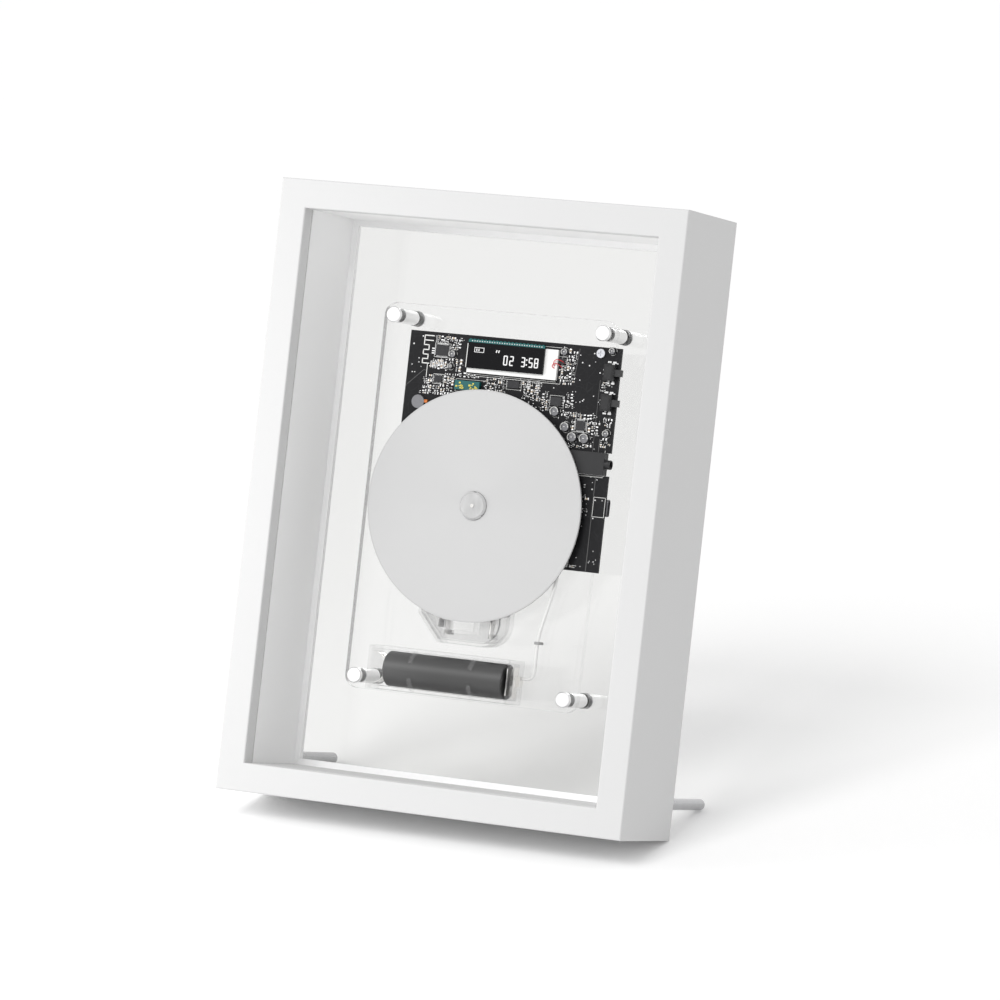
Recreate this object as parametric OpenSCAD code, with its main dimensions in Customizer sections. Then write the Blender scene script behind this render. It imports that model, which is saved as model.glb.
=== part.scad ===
// Shadow-box disc player: a deep white picture frame that leans back on two
// pegs. Behind its open front a clear plate carries the disc drive, the main
// board and the cell. Millimetres. The upright frame has its front face at
// y = 0, its bottom at z = 0 and its middle at x = 0; lean() then tips it back
// until its rear bottom edge and the pegs stand on z = 0.

/* [Frame] */
// Width of the frame across its front
frame_w = 228; // [216:2:260]
// Height of the frame across its front
frame_h = 318; // [310:2:360]
// Depth of the frame from front to back
frame_d = 66; // [62:1:80]
// Width of the front lip of each rail
lip_w = 15; // [14:0.5:18]
// Depth of the front lip, up to the groove
lip_t = 9; // [6:0.5:12]
// Thickness of the white liner boards behind the lip
liner_t = 4; // [3:0.5:5]
// Width of the shadow groove between lip and liner
groove = 0.8; // [0.4:0.1:1.4]
// Rounding of the front edges
edge_r = 0.8; // [0.3:0.1:1.4]
// Length of each leg of the hidden corner keys
key_leg = 24; // [16:1:34]
// Width of the corner keys
key_w = 4; // [3:0.5:5]
// Thickness of the corner keys
key_t = 3; // [2:0.5:5]
// Lean of the standing frame, in degrees
tilt = 15.2; // [10:0.2:20]

/* [Back panel] */
// Thickness of the clear back panel
panel_t = 4; // [3:0.5:5]
// Thickness of the white ledge that the panel rests on
ledge_t = 3; // [2:0.5:4]
// Width of the ledge that shows inside the window
ledge_w = 3.3; // [2:0.1:6]
// Width of the steel tabs that hold the panel in
tab_w = 12; // [8:1:16]
// Thickness of the tabs
tab_t = 1; // [0.6:0.1:1.5]
// Overlap of the tabs on the panel
tab_lap = 3.5; // [2:0.5:5]
// Distance of the tabs from the middle of the top and bottom rails
tab_x = 52; // [30:1:70]
// Distance of the tabs from the middle of the side rails
tab_z = 72; // [40:1:95]

/* [Stand and hangers] */
// Diameter of the stand pegs
peg_d = 6; // [5:0.2:6.6]
// Length of each peg behind the frame
peg_out = 56; // [40:1:70]
// Chamfer at the tip of each peg
peg_cut = 0.8; // [0.3:0.1:1.5]
// Distance of the peg axes from the outer sides
peg_in = 7.5; // [6.5:0.1:7.5]
// Diameter of the threaded end of each peg
stud_d = 4; // [3:0.5:4.5]
// Length of the brass bush that each peg screws into
bush_len = 14; // [8:1:18]
// Height of the keyhole hangers below the top of the frame
hanger_drop = 45; // [40:1:80]
// Length of the hanger plates
hanger_h = 44; // [40:1:60]
// Width of the hanger plates
hanger_w = 9; // [8.6:0.1:9.2]
// Thickness of the hanger plates
hanger_t = 1.5; // [1:0.1:2]
// Diameter of the keyhole's round mouth
keyhole_d = 7; // [6:0.2:7.4]
// Width of the keyhole's slot
keyslot_w = 3.6; // [3:0.2:4.4]
// Diameter of the rubber bumpers that rest on the wall
bumper_d = 8; // [6:0.5:9]
// Thickness of the bumpers
bumper_t = 3.2; // [3:0.1:4]
// Height of the lower bumpers above the frame's bottom
bumper_low = 34; // [28:1:60]
// Distance of the upper bumpers below the frame's top
bumper_drop = 18; // [17:0.5:18]

/* [Clear carrier] */
// Sideways spacing of the four standoffs
standoff_x = 118.4; // [112:0.2:130]
// Upright spacing of the four standoffs
standoff_z = 188.3; // [186:0.1:200]
// Height of the carrier's middle above the frame's middle
carrier_rise = 1; // [-2:0.5:3]
// Margin of the plate round the standoff axes
plate_edge = 6.6; // [6:0.1:9]
// Thickness of the carrier plate
plate_t = 4; // [3:0.5:5]
// Clear depth between carrier plate and back panel
standoff_len = 18.5; // [16:0.5:20]
// Diameter of the standoff barrels
barrel_d = 7.5; // [6.5:0.1:9]
// Diameter of the front caps
cap_d = 8.2; // [7:0.1:10]
// Thickness of the front caps
cap_t = 2.2; // [1.5:0.1:3]
// Thickness of the black rubber rings, in front of the plate and at the panel
ring_t = 1.6; // [1:0.1:2]
// Diameter of the standoff screws
screw_d = 3.8; // [3:0.1:4.2]

/* [Disc] */
// Diameter of the disc
disc_d = 120; // [116:0.5:120]
// Thickness of the disc
disc_t = 1.2; // [1.1:0.05:1.5]
// Diameter of the disc's centre hole
disc_hole = 15; // [14.6:0.1:15.4]
// Height of the spindle above the frame's middle
disc_rise = 0.4; // [-1:0.1:2]
// Depth between the disc and the board's face
disc_gap = 4; // [3.8:0.1:5]

/* [Main board] */
// Distance of the board's left edge from the spindle
board_left = 48.2; // [46:0.2:50]
// Distance of the board's right edge from the spindle
board_right = 70.8; // [70:0.2:74]
// Distance of the board's top edge above the spindle
board_top = 87.6; // [87:0.2:90]
// Distance of the board's bottom edge below the spindle
board_low = 27.5; // [26:0.2:28.4]
// Thickness of the board
board_t = 1.6; // [1:0.1:2]
// Depth between board and carrier plate
board_gap = 1.5; // [1.2:0.1:2]
// Free edge between the board's cut-out and the drive's ears
notch_gap = 1.2; // [0.6:0.1:2]

/* [Display] */
// Width of the display glass
glass_w = 43; // [38:0.5:44]
// Height of the display glass
glass_h = 13.4; // [12:0.2:13.8]
// Thickness of the display glass
glass_t = 1.3; // [0.8:0.1:1.6]
// Width of the white light guide
guide_w = 50.2; // [48:0.2:51]
// Height of the white light guide
guide_h = 15.6; // [15:0.2:16]
// Thickness of the light guide
guide_t = 2; // [1.2:0.1:2.4]

/* [Buttons and sockets] */
// Width of the switch bodies, into the board
switch_w = 5.8; // [5:0.1:6.4]
// Height of the switch bodies, along the board's edge
switch_h = 8.4; // [7:0.2:9]
// Thickness of the switch bodies
switch_t = 3.4; // [3:0.1:3.6]
// Height of the button caps
key_h = 3.5; // [2.6:0.1:4]
// Thickness of the button caps
key_y = 2.2; // [1.6:0.1:2.4]
// Reach of the button caps outside the switches
key_out = 4; // [3:0.1:5]
// Travel of the buttons
key_travel = 0.3; // [0.2:0.05:0.5]
// Bore of the headphone socket
jack_bore = 3.6; // [3.5:0.05:3.7]
// Height of the headphone socket's body
jack_h = 11.6; // [9:0.2:12]
// Thickness of the headphone socket's body
jack_t = 5; // [4.8:0.1:5.2]
// Diameter of the headphone socket's nose
jack_nose = 4.8; // [4.4:0.1:5]
// Width of the charging socket's mouth
usb_w = 8.9; // [8.4:0.1:9.2]

/* [Battery] */
// Diameter of the cell
cell_d = 18.2; // [17:0.1:18.6]
// Length of the cell
cell_len = 68.5; // [66:0.5:70]
// Distance of the cell's axis below the spindle
cell_drop = 87.8; // [87:0.1:90]
// Place of the cell's left end from the spindle
cell_left = 36; // [34:0.5:38]
// Wall thickness of the clear holder
holder_wall = 1.8; // [1.4:0.1:2.2]
// Space for the leaf contact at the cell's left end
leaf_space = 8; // [5:0.5:9]
// Thickness of the plate contact at the cell's right end
tail_plate = 0.5; // [0.3:0.1:1]
// Width of the fingers that clip over the cell
finger_w = 1.8; // [1.6:0.2:4]
// Diameter of the battery lead
lead_d = 1.8; // [1.4:0.1:2]

/* [Drive housing] */
// Distance of the housing's left side from the spindle
tub_left = 26; // [25:0.2:27]
// Distance of the housing's right side from the spindle
tub_right = 21.6; // [21:0.2:23]
// Distance of the housing's bottom below the spindle
tub_low = 71.6; // [71:0.2:73]
// Distance of the housing's top above the spindle
tub_top = 26.6; // [26:0.2:28]
// Width of the housing's cut left corners
tub_cut_x = 12.2; // [10:0.2:13]
// Height of the housing's cut left corners
tub_cut_z = 14; // [12:0.2:15]
// Radius of the housing's round right corners
tub_round = 12; // [9:0.5:13]
// Depth of the housing
tub_d = 15.4; // [15.2:0.1:17]
// Wall thickness of the housing
tub_wall = 1.6; // [1.2:0.1:1.8]
// Thickness of the clear deck at the housing's front
deck_t = 1.6; // [1.2:0.1:1.8]
// Depth between disc and deck
deck_gap = 2.2; // [2:0.1:2.6]
// Radius of the housing's screw ears
ear_r = 3.6; // [3:0.1:4]

/* [Drive] */
// Depth between deck and chassis
chassis_gap = 1.8; // [1.6:0.1:2]
// Thickness of the steel chassis
chassis_t = 1.2; // [1:0.1:1.4]
// Diameter of the turntable
table_d = 30; // [26:0.5:34]
// Thickness of the turntable
table_t = 1.8; // [1.4:0.1:1.9]
// Reach of the turntable's hub through the disc
hub_reach = 1.6; // [1:0.1:2]
// Diameter of the spindle shaft
shaft_d = 2; // [1.5:0.1:2.4]
// Diameter of the spindle motor
motor_d = 22; // [18:0.5:22]
// Thickness of the spindle motor
motor_t = 7.2; // [6.8:0.1:7.6]
// Diameter of the rubber dampers
damper_d = 4.4; // [3.6:0.1:4.6]

/* [Pickup] */
// Radius on the disc that the pickup reads at rest
pickup_r = 28; // [24:0.5:50]
// Smallest radius that the pickup reaches
pickup_min = 23; // [23:0.5:24]
// Largest radius that the pickup reaches
pickup_max = 58; // [55:0.5:58]
// Diameter of the guide rods
rod_d = 3; // [2.4:0.1:3]
// Distance of the guide rods from the spindle's plane
rod_x = 12.5; // [12.3:0.1:12.7]
// Diameter of the lead screw
lead_screw_d = 2.6; // [2:0.1:2.8]
// Distance of the lead screw from the spindle's plane
lead_screw_x = 17; // [16.9:0.1:17.2]
// Diameter of the feed motor
feed_motor_d = 8; // [6:0.2:8]
// Diameter of the lens
lens_d = 4; // [3:0.1:4.4]

/* [Hidden] */

$fn = 48;
fit = 0.05;          // radial clearance of screws in their holes
run = 0.03;          // radial clearance of running bores
slack = 0.2;         // clearance of pieces laid into a recess
seam = 0.1;          // gap at the mitres of the liner boards and the ledge

// Depths, from the back panel to the front
wall = lip_w - liner_t;
panel_y = frame_d - panel_t;
ledge_y = panel_y - ledge_t;
plate_back = panel_y - standoff_len;
plate_front = plate_back - plate_t;
board_back = plate_front - board_gap;
board_front = board_back - board_t;
disc_back = board_front - disc_gap;
disc_front = disc_back - disc_t;
deck_front = disc_back + deck_gap;
deck_back = deck_front + deck_t;
tub_back = deck_front + tub_d;
tub_floor = tub_back - tub_wall;
chassis_front = deck_back + chassis_gap;
chassis_back = chassis_front + chassis_t;

// Heights
mid_z = frame_h / 2;
disc_z = mid_z + disc_rise;
carrier_z = mid_z + carrier_rise;
cell_z = disc_z - cell_drop;
lens_z = disc_z - pickup_r;

// Lean: the pegs sit where their lower edge meets the ground
peg_x = frame_w / 2 - peg_in;
peg_z = peg_d / 2 + (peg_out - peg_cut) * tan(tilt);

// Screws of the panel tabs; their heads at the top are the rearmost point
tab_screw_r = 1.2;
tab_head_r = 2.3;
tab_head_t = 1.3;
tab_screw_len = 9;
back_reach = (tab_t + tab_head_t) * cos(tilt) + (frame_h - wall / 2 + tab_head_r) * sin(tilt);
mid_y = (back_reach - frame_d * cos(tilt)) / 2;

// Places of what repeats
standoffs = [for (i = [-1, 1], j = [-1, 1]) [i * standoff_x / 2, carrier_z + j * standoff_z / 2]];
tabs = [
    for (i = [-1, 1]) [i * tab_x, 0, 0], for (i = [-1, 1]) [i * tab_x, 0, 180],
    for (i = [-1, 1]) [i * tab_z, 0, 90], for (i = [-1, 1]) [i * tab_z, 0, 270]
];

module lean() {
    translate([0, -mid_y, 0]) rotate([-tilt, 0, 0]) translate([0, -frame_d, 0]) children();
}

// A block between two corners
module block(low, high) { translate(low) cube(high - low); }

// Round bars along the three axes, from a start point
module bar_x(p, r, len) { translate(p) rotate([0, 90, 0]) cylinder(r = r, h = len); }
module bar_y(p, r, len) { translate(p) rotate([-90, 0, 0]) cylinder(r = r, h = len); }
module bar_z(p, r, len) { translate(p) cylinder(r = r, h = len); }

// A flat outline in x and z, from depth y0 to y1
module sheet(y0, y1) {
    translate([0, y1, 0]) rotate([90, 0, 0]) linear_extrude(y1 - y0) children();
}

function arc(cx, cy, r, a0, a1, n) =
    [for (i = [0:n]) let (a = a0 + (a1 - a0) * i / n) [cx + r * cos(a), cy + r * sin(a)]];

// ---- frame ----

// One side of the frame as seen from its middle: 0 bottom, 1 left, 2 top, 3 right
module side(i) {
    drop = i % 2 == 0 ? frame_h / 2 : frame_w / 2;
    translate([0, 0, mid_z]) rotate([0, 90 * i, 0]) translate([0, 0, -drop]) children();
}
function side_len(i) = i % 2 == 0 ? frame_w : frame_h;

// A mitred board from inset u0 to u1 and depth y0 to y1
module mitred(len, u0, u1, y0, y1) {
    sheet(y0, y1) polygon([
        [u0 - len / 2, u0], [len / 2 - u0, u0], [len / 2 - u1, u1], [u1 - len / 2, u1]
    ]);
}

rail_profile = concat(
    arc(edge_r, edge_r, edge_r, 180, 270, 4), arc(lip_w - edge_r, edge_r, edge_r, 270, 360, 4),
    [[lip_w, lip_t], [wall, lip_t], [wall, frame_d], [0, frame_d]]
);

module corner_key(i, gap) {
    // One leg along each of two rails that meet at the corner
    u0 = (wall - key_w) / 2;
    y0 = (lip_t + ledge_y - key_t) / 2;
    low = u0 - side_len(i) / 2;
    side(i) {
        block([low - gap, y0 - gap, u0 - gap], [low + key_leg + gap, y0 + key_t + gap, u0 + key_w + gap]);
        block([low - gap, y0 - gap, u0 - gap], [low + key_w + gap, y0 + key_t + gap, u0 + key_leg + gap]);
    }
}

module rail(i) {
    color("white") lean() difference() {
        intersection() {
            side(i) translate([-side_len(i) / 2, 0, 0]) rotate([90, 0, 90])
                linear_extrude(side_len(i)) mirror([1, 0]) rotate(90) polygon(rail_profile);
            side(i) mitred(side_len(i), 0, lip_w, 0, frame_d);
        }
        for (k = [0:3]) corner_key(k, fit);
        tab_screw_holes();
        for (s = [-1, 1]) {
            bar_y([s * peg_x, frame_d - bush_len, peg_z], bush_r, bush_len + 1);
            hanger_recess(s);
        }
    }
}
module rail_bottom() { rail(0); }
module rail_left() { rail(1); }
module rail_top() { rail(2); }
module rail_right() { rail(3); }

module corner_keys() { color("gainsboro") lean() for (k = [0:3]) corner_key(k, 0); }

module liner_boards() {
    color("white") lean() for (i = [0:3])
        side(i) mitred(side_len(i) - seam, wall, lip_w, lip_t + groove, ledge_y);
}

module panel_ledge() {
    color("white") lean() for (i = [0:3])
        side(i) mitred(side_len(i) - seam, wall, lip_w + ledge_w, ledge_y, panel_y);
}

// ---- back panel and its tabs ----

module back_panel() {
    half_w = frame_w / 2 - wall - slack;
    color("azure") lean() difference() {
        block([-half_w, panel_y, wall + slack], [half_w, frame_d, frame_h - wall - slack]);
        for (p = standoffs) bar_y([p[0], panel_y - 1, p[1]], screw_d / 2 + fit, panel_t + 2);
    }
}

tab_low = 2;

// A tab's place: [along, 0, turn]
module at_tab(t) {
    drop = (t[2] / 90) % 2 == 0 ? frame_h / 2 : frame_w / 2;
    translate([0, 0, mid_z]) rotate([0, t[2], 0]) translate([t[0], 0, -drop]) children();
}

module tab_screw_holes() {
    for (t = tabs) at_tab(t)
        bar_y([0, frame_d - tab_screw_len, wall / 2], tab_screw_r + fit, tab_screw_len + 1);
}

module panel_tabs() {
    color("silver") lean() for (t = tabs) at_tab(t) difference() {
        block([-tab_w / 2, frame_d, tab_low], [tab_w / 2, frame_d + tab_t, wall + tab_lap]);
        bar_y([0, frame_d - 1, wall / 2], tab_screw_r + fit, tab_t + 2);
    }
}

module tab_screws() {
    color("silver") lean() for (t = tabs) at_tab(t) {
        bar_y([0, frame_d + tab_t - tab_screw_len, wall / 2], tab_screw_r, tab_screw_len);
        cross_head([0, frame_d + tab_t, wall / 2], tab_head_r, tab_head_t, 1);
    }
}

// A screw head with a cross recess, standing dir = 1 towards the back or -1 towards the front
module cross_head(p, r, t, dir) {
    y_top = dir > 0 ? t : -t;
    translate(p) difference() {
        bar_y([0, min(0, y_top), 0], r, t);
        for (a = [0, 90]) rotate([0, a, 0])
            block([-0.6 * r, y_top - t / 2, -0.12 * r], [0.6 * r, y_top + t / 2, 0.12 * r]);
    }
}

// ---- stand pegs and wall hangers ----

bush_r = peg_d / 2 - 0.1;
stud_len = bush_len - 1;

module stand_pegs() {
    r = peg_d / 2;
    color("silver") lean() for (s = [-1, 1]) {
        bar_y([s * peg_x, frame_d - stud_len, peg_z], stud_d / 2, stud_len);
        bar_y([s * peg_x, frame_d, peg_z], r, peg_out - peg_cut);
        translate([s * peg_x, frame_d + peg_out - peg_cut, peg_z]) rotate([-90, 0, 0])
            cylinder(r1 = r, r2 = r - peg_cut, h = peg_cut);
    }
}

module peg_bushes() {
    color("goldenrod") lean() for (s = [-1, 1]) difference() {
        bar_y([s * peg_x, frame_d - bush_len, peg_z], bush_r, bush_len);
        bar_y([s * peg_x, frame_d - stud_len - 0.2, peg_z], stud_d / 2 + fit, stud_len + 1);
    }
}

hanger_x = frame_w / 2 - wall / 2;
hanger_z = frame_h - hanger_drop;
key_rise = 7;            // length of the keyhole's slot above its mouth
hanger_screw_r = 1.3;
hanger_screw_len = 9;
hanger_screw_gap = 5;    // from each end of the plate to its screw
pocket_d = 5;            // depth behind the keyhole for a wall screw's head

module hanger_recess(s) {
    w = hanger_w / 2 + slack / 2;
    h = hanger_h / 2 + slack / 2;
    block([s * hanger_x - w, frame_d - hanger_t, hanger_z - h], [s * hanger_x + w, frame_d + 1, hanger_z + h]);
    block([s * hanger_x - keyhole_d / 2, frame_d - hanger_t - pocket_d, hanger_z - keyhole_d / 2],
          [s * hanger_x + keyhole_d / 2, frame_d + 1, hanger_z + key_rise + keyhole_d / 2]);
    for (k = [-1, 1])
        bar_y([s * hanger_x, frame_d - hanger_screw_len, hanger_z + k * (hanger_h / 2 - hanger_screw_gap)],
              hanger_screw_r + fit, hanger_screw_len);
}

module wall_hangers() {
    color("silver") lean() for (s = [-1, 1]) difference() {
        block([s * hanger_x - hanger_w / 2, frame_d - hanger_t, hanger_z - hanger_h / 2],
              [s * hanger_x + hanger_w / 2, frame_d, hanger_z + hanger_h / 2]);
        bar_y([s * hanger_x, frame_d - hanger_t - 1, hanger_z], keyhole_d / 2, hanger_t + 2);
        bar_y([s * hanger_x, frame_d - hanger_t - 1, hanger_z + key_rise], keyslot_w / 2, hanger_t + 2);
        block([s * hanger_x - keyslot_w / 2, frame_d - hanger_t - 1, hanger_z],
              [s * hanger_x + keyslot_w / 2, frame_d + 1, hanger_z + key_rise]);
        for (k = [-1, 1])
            bar_y([s * hanger_x, frame_d - hanger_t - 1, hanger_z + k * (hanger_h / 2 - hanger_screw_gap)],
                  hanger_screw_r + fit, hanger_t + 2);
    }
}

module hanger_screws() {
    color("silver") lean() for (s = [-1, 1], k = [-1, 1])
        translate([s * hanger_x, frame_d, hanger_z + k * (hanger_h / 2 - hanger_screw_gap)]) {
            bar_y([0, 0.2 - hanger_screw_len, 0], hanger_screw_r, hanger_screw_len - 0.2);
            cross_head([0, 0, 0], 2.4, 1, 1);
        }
}

module wall_bumpers() {
    dome = 0.8;
    color("dimgray") lean() for (s = [-1, 1], z = [bumper_low, frame_h - bumper_drop])
        translate([s * hanger_x, frame_d, z]) rotate([-90, 0, 0]) {
            cylinder(d = bumper_d, h = bumper_t - dome);
            translate([0, 0, bumper_t - dome]) cylinder(d1 = bumper_d, d2 = bumper_d - 2 * dome, h = dome);
        }
}

// ---- clear carrier on its four standoffs ----

stud_deep = 6;        // screw length inside a barrel, from each end
washer_t = 1;
standoff_head_t = 1.8;
cap_bevel = 0.5;
cap_back = plate_front - ring_t;      // where the cap meets its ring
barrel_end = panel_y - ring_t;        // where the barrel meets its ring

module rounded_plate(w, h, r, y0, y1) {
    block([-w / 2 + r, y0, -h / 2], [w / 2 - r, y1, h / 2]);
    block([-w / 2, y0, -h / 2 + r], [w / 2, y1, h / 2 - r]);
    for (i = [-1, 1], j = [-1, 1]) bar_y([i * (w / 2 - r), y0, j * (h / 2 - r)], r, y1 - y0);
}

module carrier_plate() {
    color("azure") lean() difference() {
        translate([0, 0, carrier_z])
            rounded_plate(standoff_x + 2 * plate_edge, standoff_z + 2 * plate_edge, plate_edge,
                          plate_front, plate_back);
        for (p = standoffs) bar_y([p[0], plate_front - 1, p[1]], screw_d / 2 + fit, plate_t + 2);
        for (p = board_fixings) bar_y([p[0], plate_front - 1, p[1]], board_screw_r + fit, plate_t + 2);
        for (p = drive_fixings) bar_y([p[0], plate_front - 1, p[1]], drive_screw_r + fit, plate_t + 2);
        for (p = holder_fixings) bar_y([p[0], plate_front - 1, p[1]], holder_screw_r + fit, plate_t + 2);
        sheet(plate_front - 1, plate_back + 1) polygon(housing_outline(-slack));
        block([board_right - usb_d + 0.5, plate_front - 1, usb_z - usb_w / 2 - 0.4],
              [board_right, plate_back + 1, usb_z + usb_w / 2 + 0.4]);
    }
}

module standoff_barrels() {
    color("gainsboro") lean() for (p = standoffs) difference() {
        bar_y([p[0], plate_back, p[1]], barrel_d / 2, barrel_end - plate_back);
        bar_y([p[0], plate_back - 1, p[1]], screw_d / 2 + fit, stud_deep + 1.5);
        bar_y([p[0], barrel_end - stud_deep - 0.5, p[1]], screw_d / 2 + fit, stud_deep + 1.5);
    }
}

module standoff_caps() {
    color("gainsboro") lean() for (p = standoffs) {
        bar_y([p[0], cap_back - cap_t + cap_bevel, p[1]], cap_d / 2, cap_t - cap_bevel);
        translate([p[0], cap_back - cap_t, p[1]]) rotate([-90, 0, 0])
            cylinder(r1 = cap_d / 2 - cap_bevel, r2 = cap_d / 2, h = cap_bevel);
        bar_y([p[0], cap_back - cap_t / 2, p[1]], screw_d / 2, cap_t / 2 + ring_t + plate_t + stud_deep);
    }
}

module standoff_rings() {
    // One ring behind each cap and one at the end of each barrel
    color("black") lean() for (p = standoffs, y = [cap_back, barrel_end])
        translate([p[0], y + ring_t / 2, p[1]]) rotate([90, 0, 0])
            rotate_extrude() translate([barrel_d / 2 + 0.2 - ring_t / 2, 0]) circle(r = ring_t / 2, $fn = 24);
}

module standoff_washers() {
    color("dimgray") lean() for (p = standoffs) difference() {
        bar_y([p[0], frame_d, p[1]], barrel_d / 2 + 0.4, washer_t);
        bar_y([p[0], frame_d - 1, p[1]], screw_d / 2 + fit, washer_t + 2);
    }
}

module standoff_screws() {
    color("silver") lean() for (p = standoffs) {
        bar_y([p[0], barrel_end - stud_deep, p[1]], screw_d / 2, stud_deep + ring_t + panel_t + washer_t);
        cross_head([p[0], frame_d + washer_t, p[1]], barrel_d / 2 - 0.4, standoff_head_t, 1);
    }
}

// ---- main board ----

board_screw_r = 1.25;
board_fixings = [
    [board_right - 11.1, disc_z + board_top - 3.3], [38.5, disc_z - board_low + 5],
    [7 - board_left, disc_z - board_low + 5], [-20, disc_z + 40.6]
];
jack_z = disc_z + 28;
jack_x = board_right - 22.1;     // inner end of the headphone socket
jack_y = board_back + 0.5 - jack_t / 2;
usb_z = disc_z + 6;

module main_board() {
    color([0.07, 0.07, 0.08]) lean() difference() {
        block([-board_left, board_front, disc_z - board_low], [board_right, board_back, disc_z + board_top]);
        block([-tub_left - 2 * ear_r - notch_gap, board_front - 1, disc_z - board_low - 1],
              [tub_right + 2 * ear_r + notch_gap, board_back + 1, disc_z + tub_top + notch_gap]);
        block([jack_x - slack / 2, board_front - 1, jack_z - jack_h / 2 - slack / 2],
              [board_right + 1, board_back + 1, jack_z + jack_h / 2 + slack / 2]);
        for (p = board_fixings) bar_y([p[0], board_front - 1, p[1]], board_screw_r + fit, board_t + 2);
    }
}

module board_spacers() {
    color("white") lean() for (p = board_fixings) difference() {
        bar_y([p[0], board_back, p[1]], 2.6, board_gap);
        bar_y([p[0], board_back - 1, p[1]], board_screw_r + fit, board_gap + 2);
    }
}

module board_screws() {
    color("gainsboro") lean() for (p = board_fixings) {
        bar_y([p[0], board_front, p[1]], board_screw_r, plate_back - board_front);
        cross_head([p[0], board_front, p[1]], 2.3, 1.2, -1);
    }
}

// ---- display ----

guide_x = -13.6;                        // left edge of the light guide
guide_z = disc_z + board_top - 19.2;    // lower edge of the light guide
guide_y = board_front - guide_t;
lip_below = guide_h - glass_h;          // white strip that shows below the glass

module display_guide() {
    color("white") lean()
        block([guide_x, guide_y, guide_z], [guide_x + guide_w, board_front, guide_z + guide_h]);
}

module display_glass() {
    color([0.03, 0.03, 0.03]) lean()
        block([guide_x, guide_y - glass_t, guide_z + lip_below],
              [guide_x + glass_w, guide_y, guide_z + guide_h]);
}

module display_pins() {
    // A row of pins along the top of the glass, in a teal flexible strip
    pins = 20;
    pitch = glass_w / pins;
    z0 = guide_z + guide_h;
    color("teal") lean() {
        block([guide_x, guide_y - glass_t, z0], [guide_x + glass_w, guide_y - glass_t + 0.5, z0 + 1.4]);
        for (i = [0:pins - 1]) block([guide_x + pitch * (i + 0.3), guide_y - glass_t, z0 + 1.4],
                                     [guide_x + pitch * (i + 0.7), board_front, z0 + 1.8]);
    }
}

// ---- parts on the board ----

// Chips: [x from the spindle, height above the spindle, width, height, thickness]
chip_list = [
    [-29.2, 78.4, 7, 5.6, 0.9], [37.8, 57.7, 6, 4.4, 1.5], [52.6, 46.6, 5, 5, 0.9],
    [13, 64.2, 6.5, 3.6, 1.2], [-29.8, 63.5, 4.2, 3.4, 1], [38.5, 78.5, 3.2, 3, 1.1]
];
// Electrolytic capacitors: [x from the spindle, height above the spindle, radius]
cap_list = [
    [37.7, 52.6, 2.4], [44.3, 45.2, 2.3], [48.9, 40.3, 2.4], [55.6, 40.2, 2.5], [-23, 77, 1.8],
    [39.6, 83.4, 1.7], [66, 86, 1.6], [67.3, 43.7, 1.7], [-23.6, 70.6, 1.3]
];
can_at = [-39.5, 50.9];
can_r = 3.5;
module_at = [-12.4, 61.4];

module chips() {
    color([0.16, 0.16, 0.17]) lean() for (c = chip_list)
        block([c[0] - c[2] / 2, board_front - c[4], disc_z + c[1] - c[3] / 2],
              [c[0] + c[2] / 2, board_front, disc_z + c[1] + c[3] / 2]);
}

module capacitors() {
    color("silver") lean() for (c = cap_list) {
        translate([c[0], board_front, disc_z + c[1]]) {
            block([-c[2], -0.5, -c[2]], [c[2], 0, c[2]]);
            bar_y([0, -1.6, 0], c[2] * 0.94, 1.2);
        }
    }
}

module shield_can() {
    color("silver") lean() bar_y([can_at[0], board_front - 1.6, disc_z + can_at[1]], can_r, 1.6);
}

module radio_module() {
    color("teal") lean()
        block([module_at[0] - 7, board_front - 2.4, disc_z + module_at[1] - 2.4],
              [module_at[0] + 7, board_front, disc_z + module_at[1] + 2.4]);
}

module headphone_socket() {
    face = board_right - 2;      // outer end of the body, where the nose starts
    color([0.2, 0.2, 0.21]) lean() difference() {
        union() {
            block([jack_x, jack_y - jack_t / 2, jack_z - jack_h / 2],
                  [face, jack_y + jack_t / 2, jack_z + jack_h / 2]);
            bar_x([face, jack_y, jack_z], jack_nose / 2, 3);
        }
        bar_x([face - 11, jack_y, jack_z], jack_bore / 2, 15);
    }
}

usb_d = 7.4;     // depth of the charging socket
usb_t = 3.2;

module usb_shape(w, t) {
    // Flat mouth with round ends, drawn along x
    r = t / 2;
    block([0, -r, -w / 2 + r], [usb_d, r, w / 2 - r]);
    for (s = [-1, 1]) bar_x([0, 0, s * (w / 2 - r)], r, usb_d);
}

module charge_socket() {
    // On the board's back, at its right edge
    x0 = board_right - usb_d + 0.8;
    y0 = board_back + usb_t / 2;
    color("silver") lean() difference() {
        translate([x0, y0, usb_z]) usb_shape(usb_w, usb_t);
        difference() {
            translate([x0 + 0.8, y0, usb_z]) usb_shape(usb_w - 0.6, usb_t - 0.6);
            block([x0, y0 - 0.35, usb_z - 3.3], [x0 + usb_d - 0.8, y0 + 0.35, usb_z + 3.3]);
        }
    }
}

lead_socket_x = 49.4;
lead_socket_z = disc_z - board_low + 1;

module lead_socket() {
    color("white") lean() difference() {
        block([lead_socket_x - 2.4, board_front - 3, lead_socket_z],
              [lead_socket_x + 2.4, board_front, lead_socket_z + 6]);
        block([lead_socket_x - 1.8, board_front - 3.5, lead_socket_z + 3],
              [lead_socket_x + 1.8, board_front - 1, lead_socket_z + 5]);
    }
}

// ---- side buttons ----

switch_x = board_right - 1.8;                  // outer face of the switch bodies
power_z = disc_z + 74.9;
play_z = disc_z + 59.4;
key_side = 0.1;                                // gap round each cap
key_in = 1.4;                                  // cap length inside its switch
switch_y = board_front - switch_t / 2;

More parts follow.
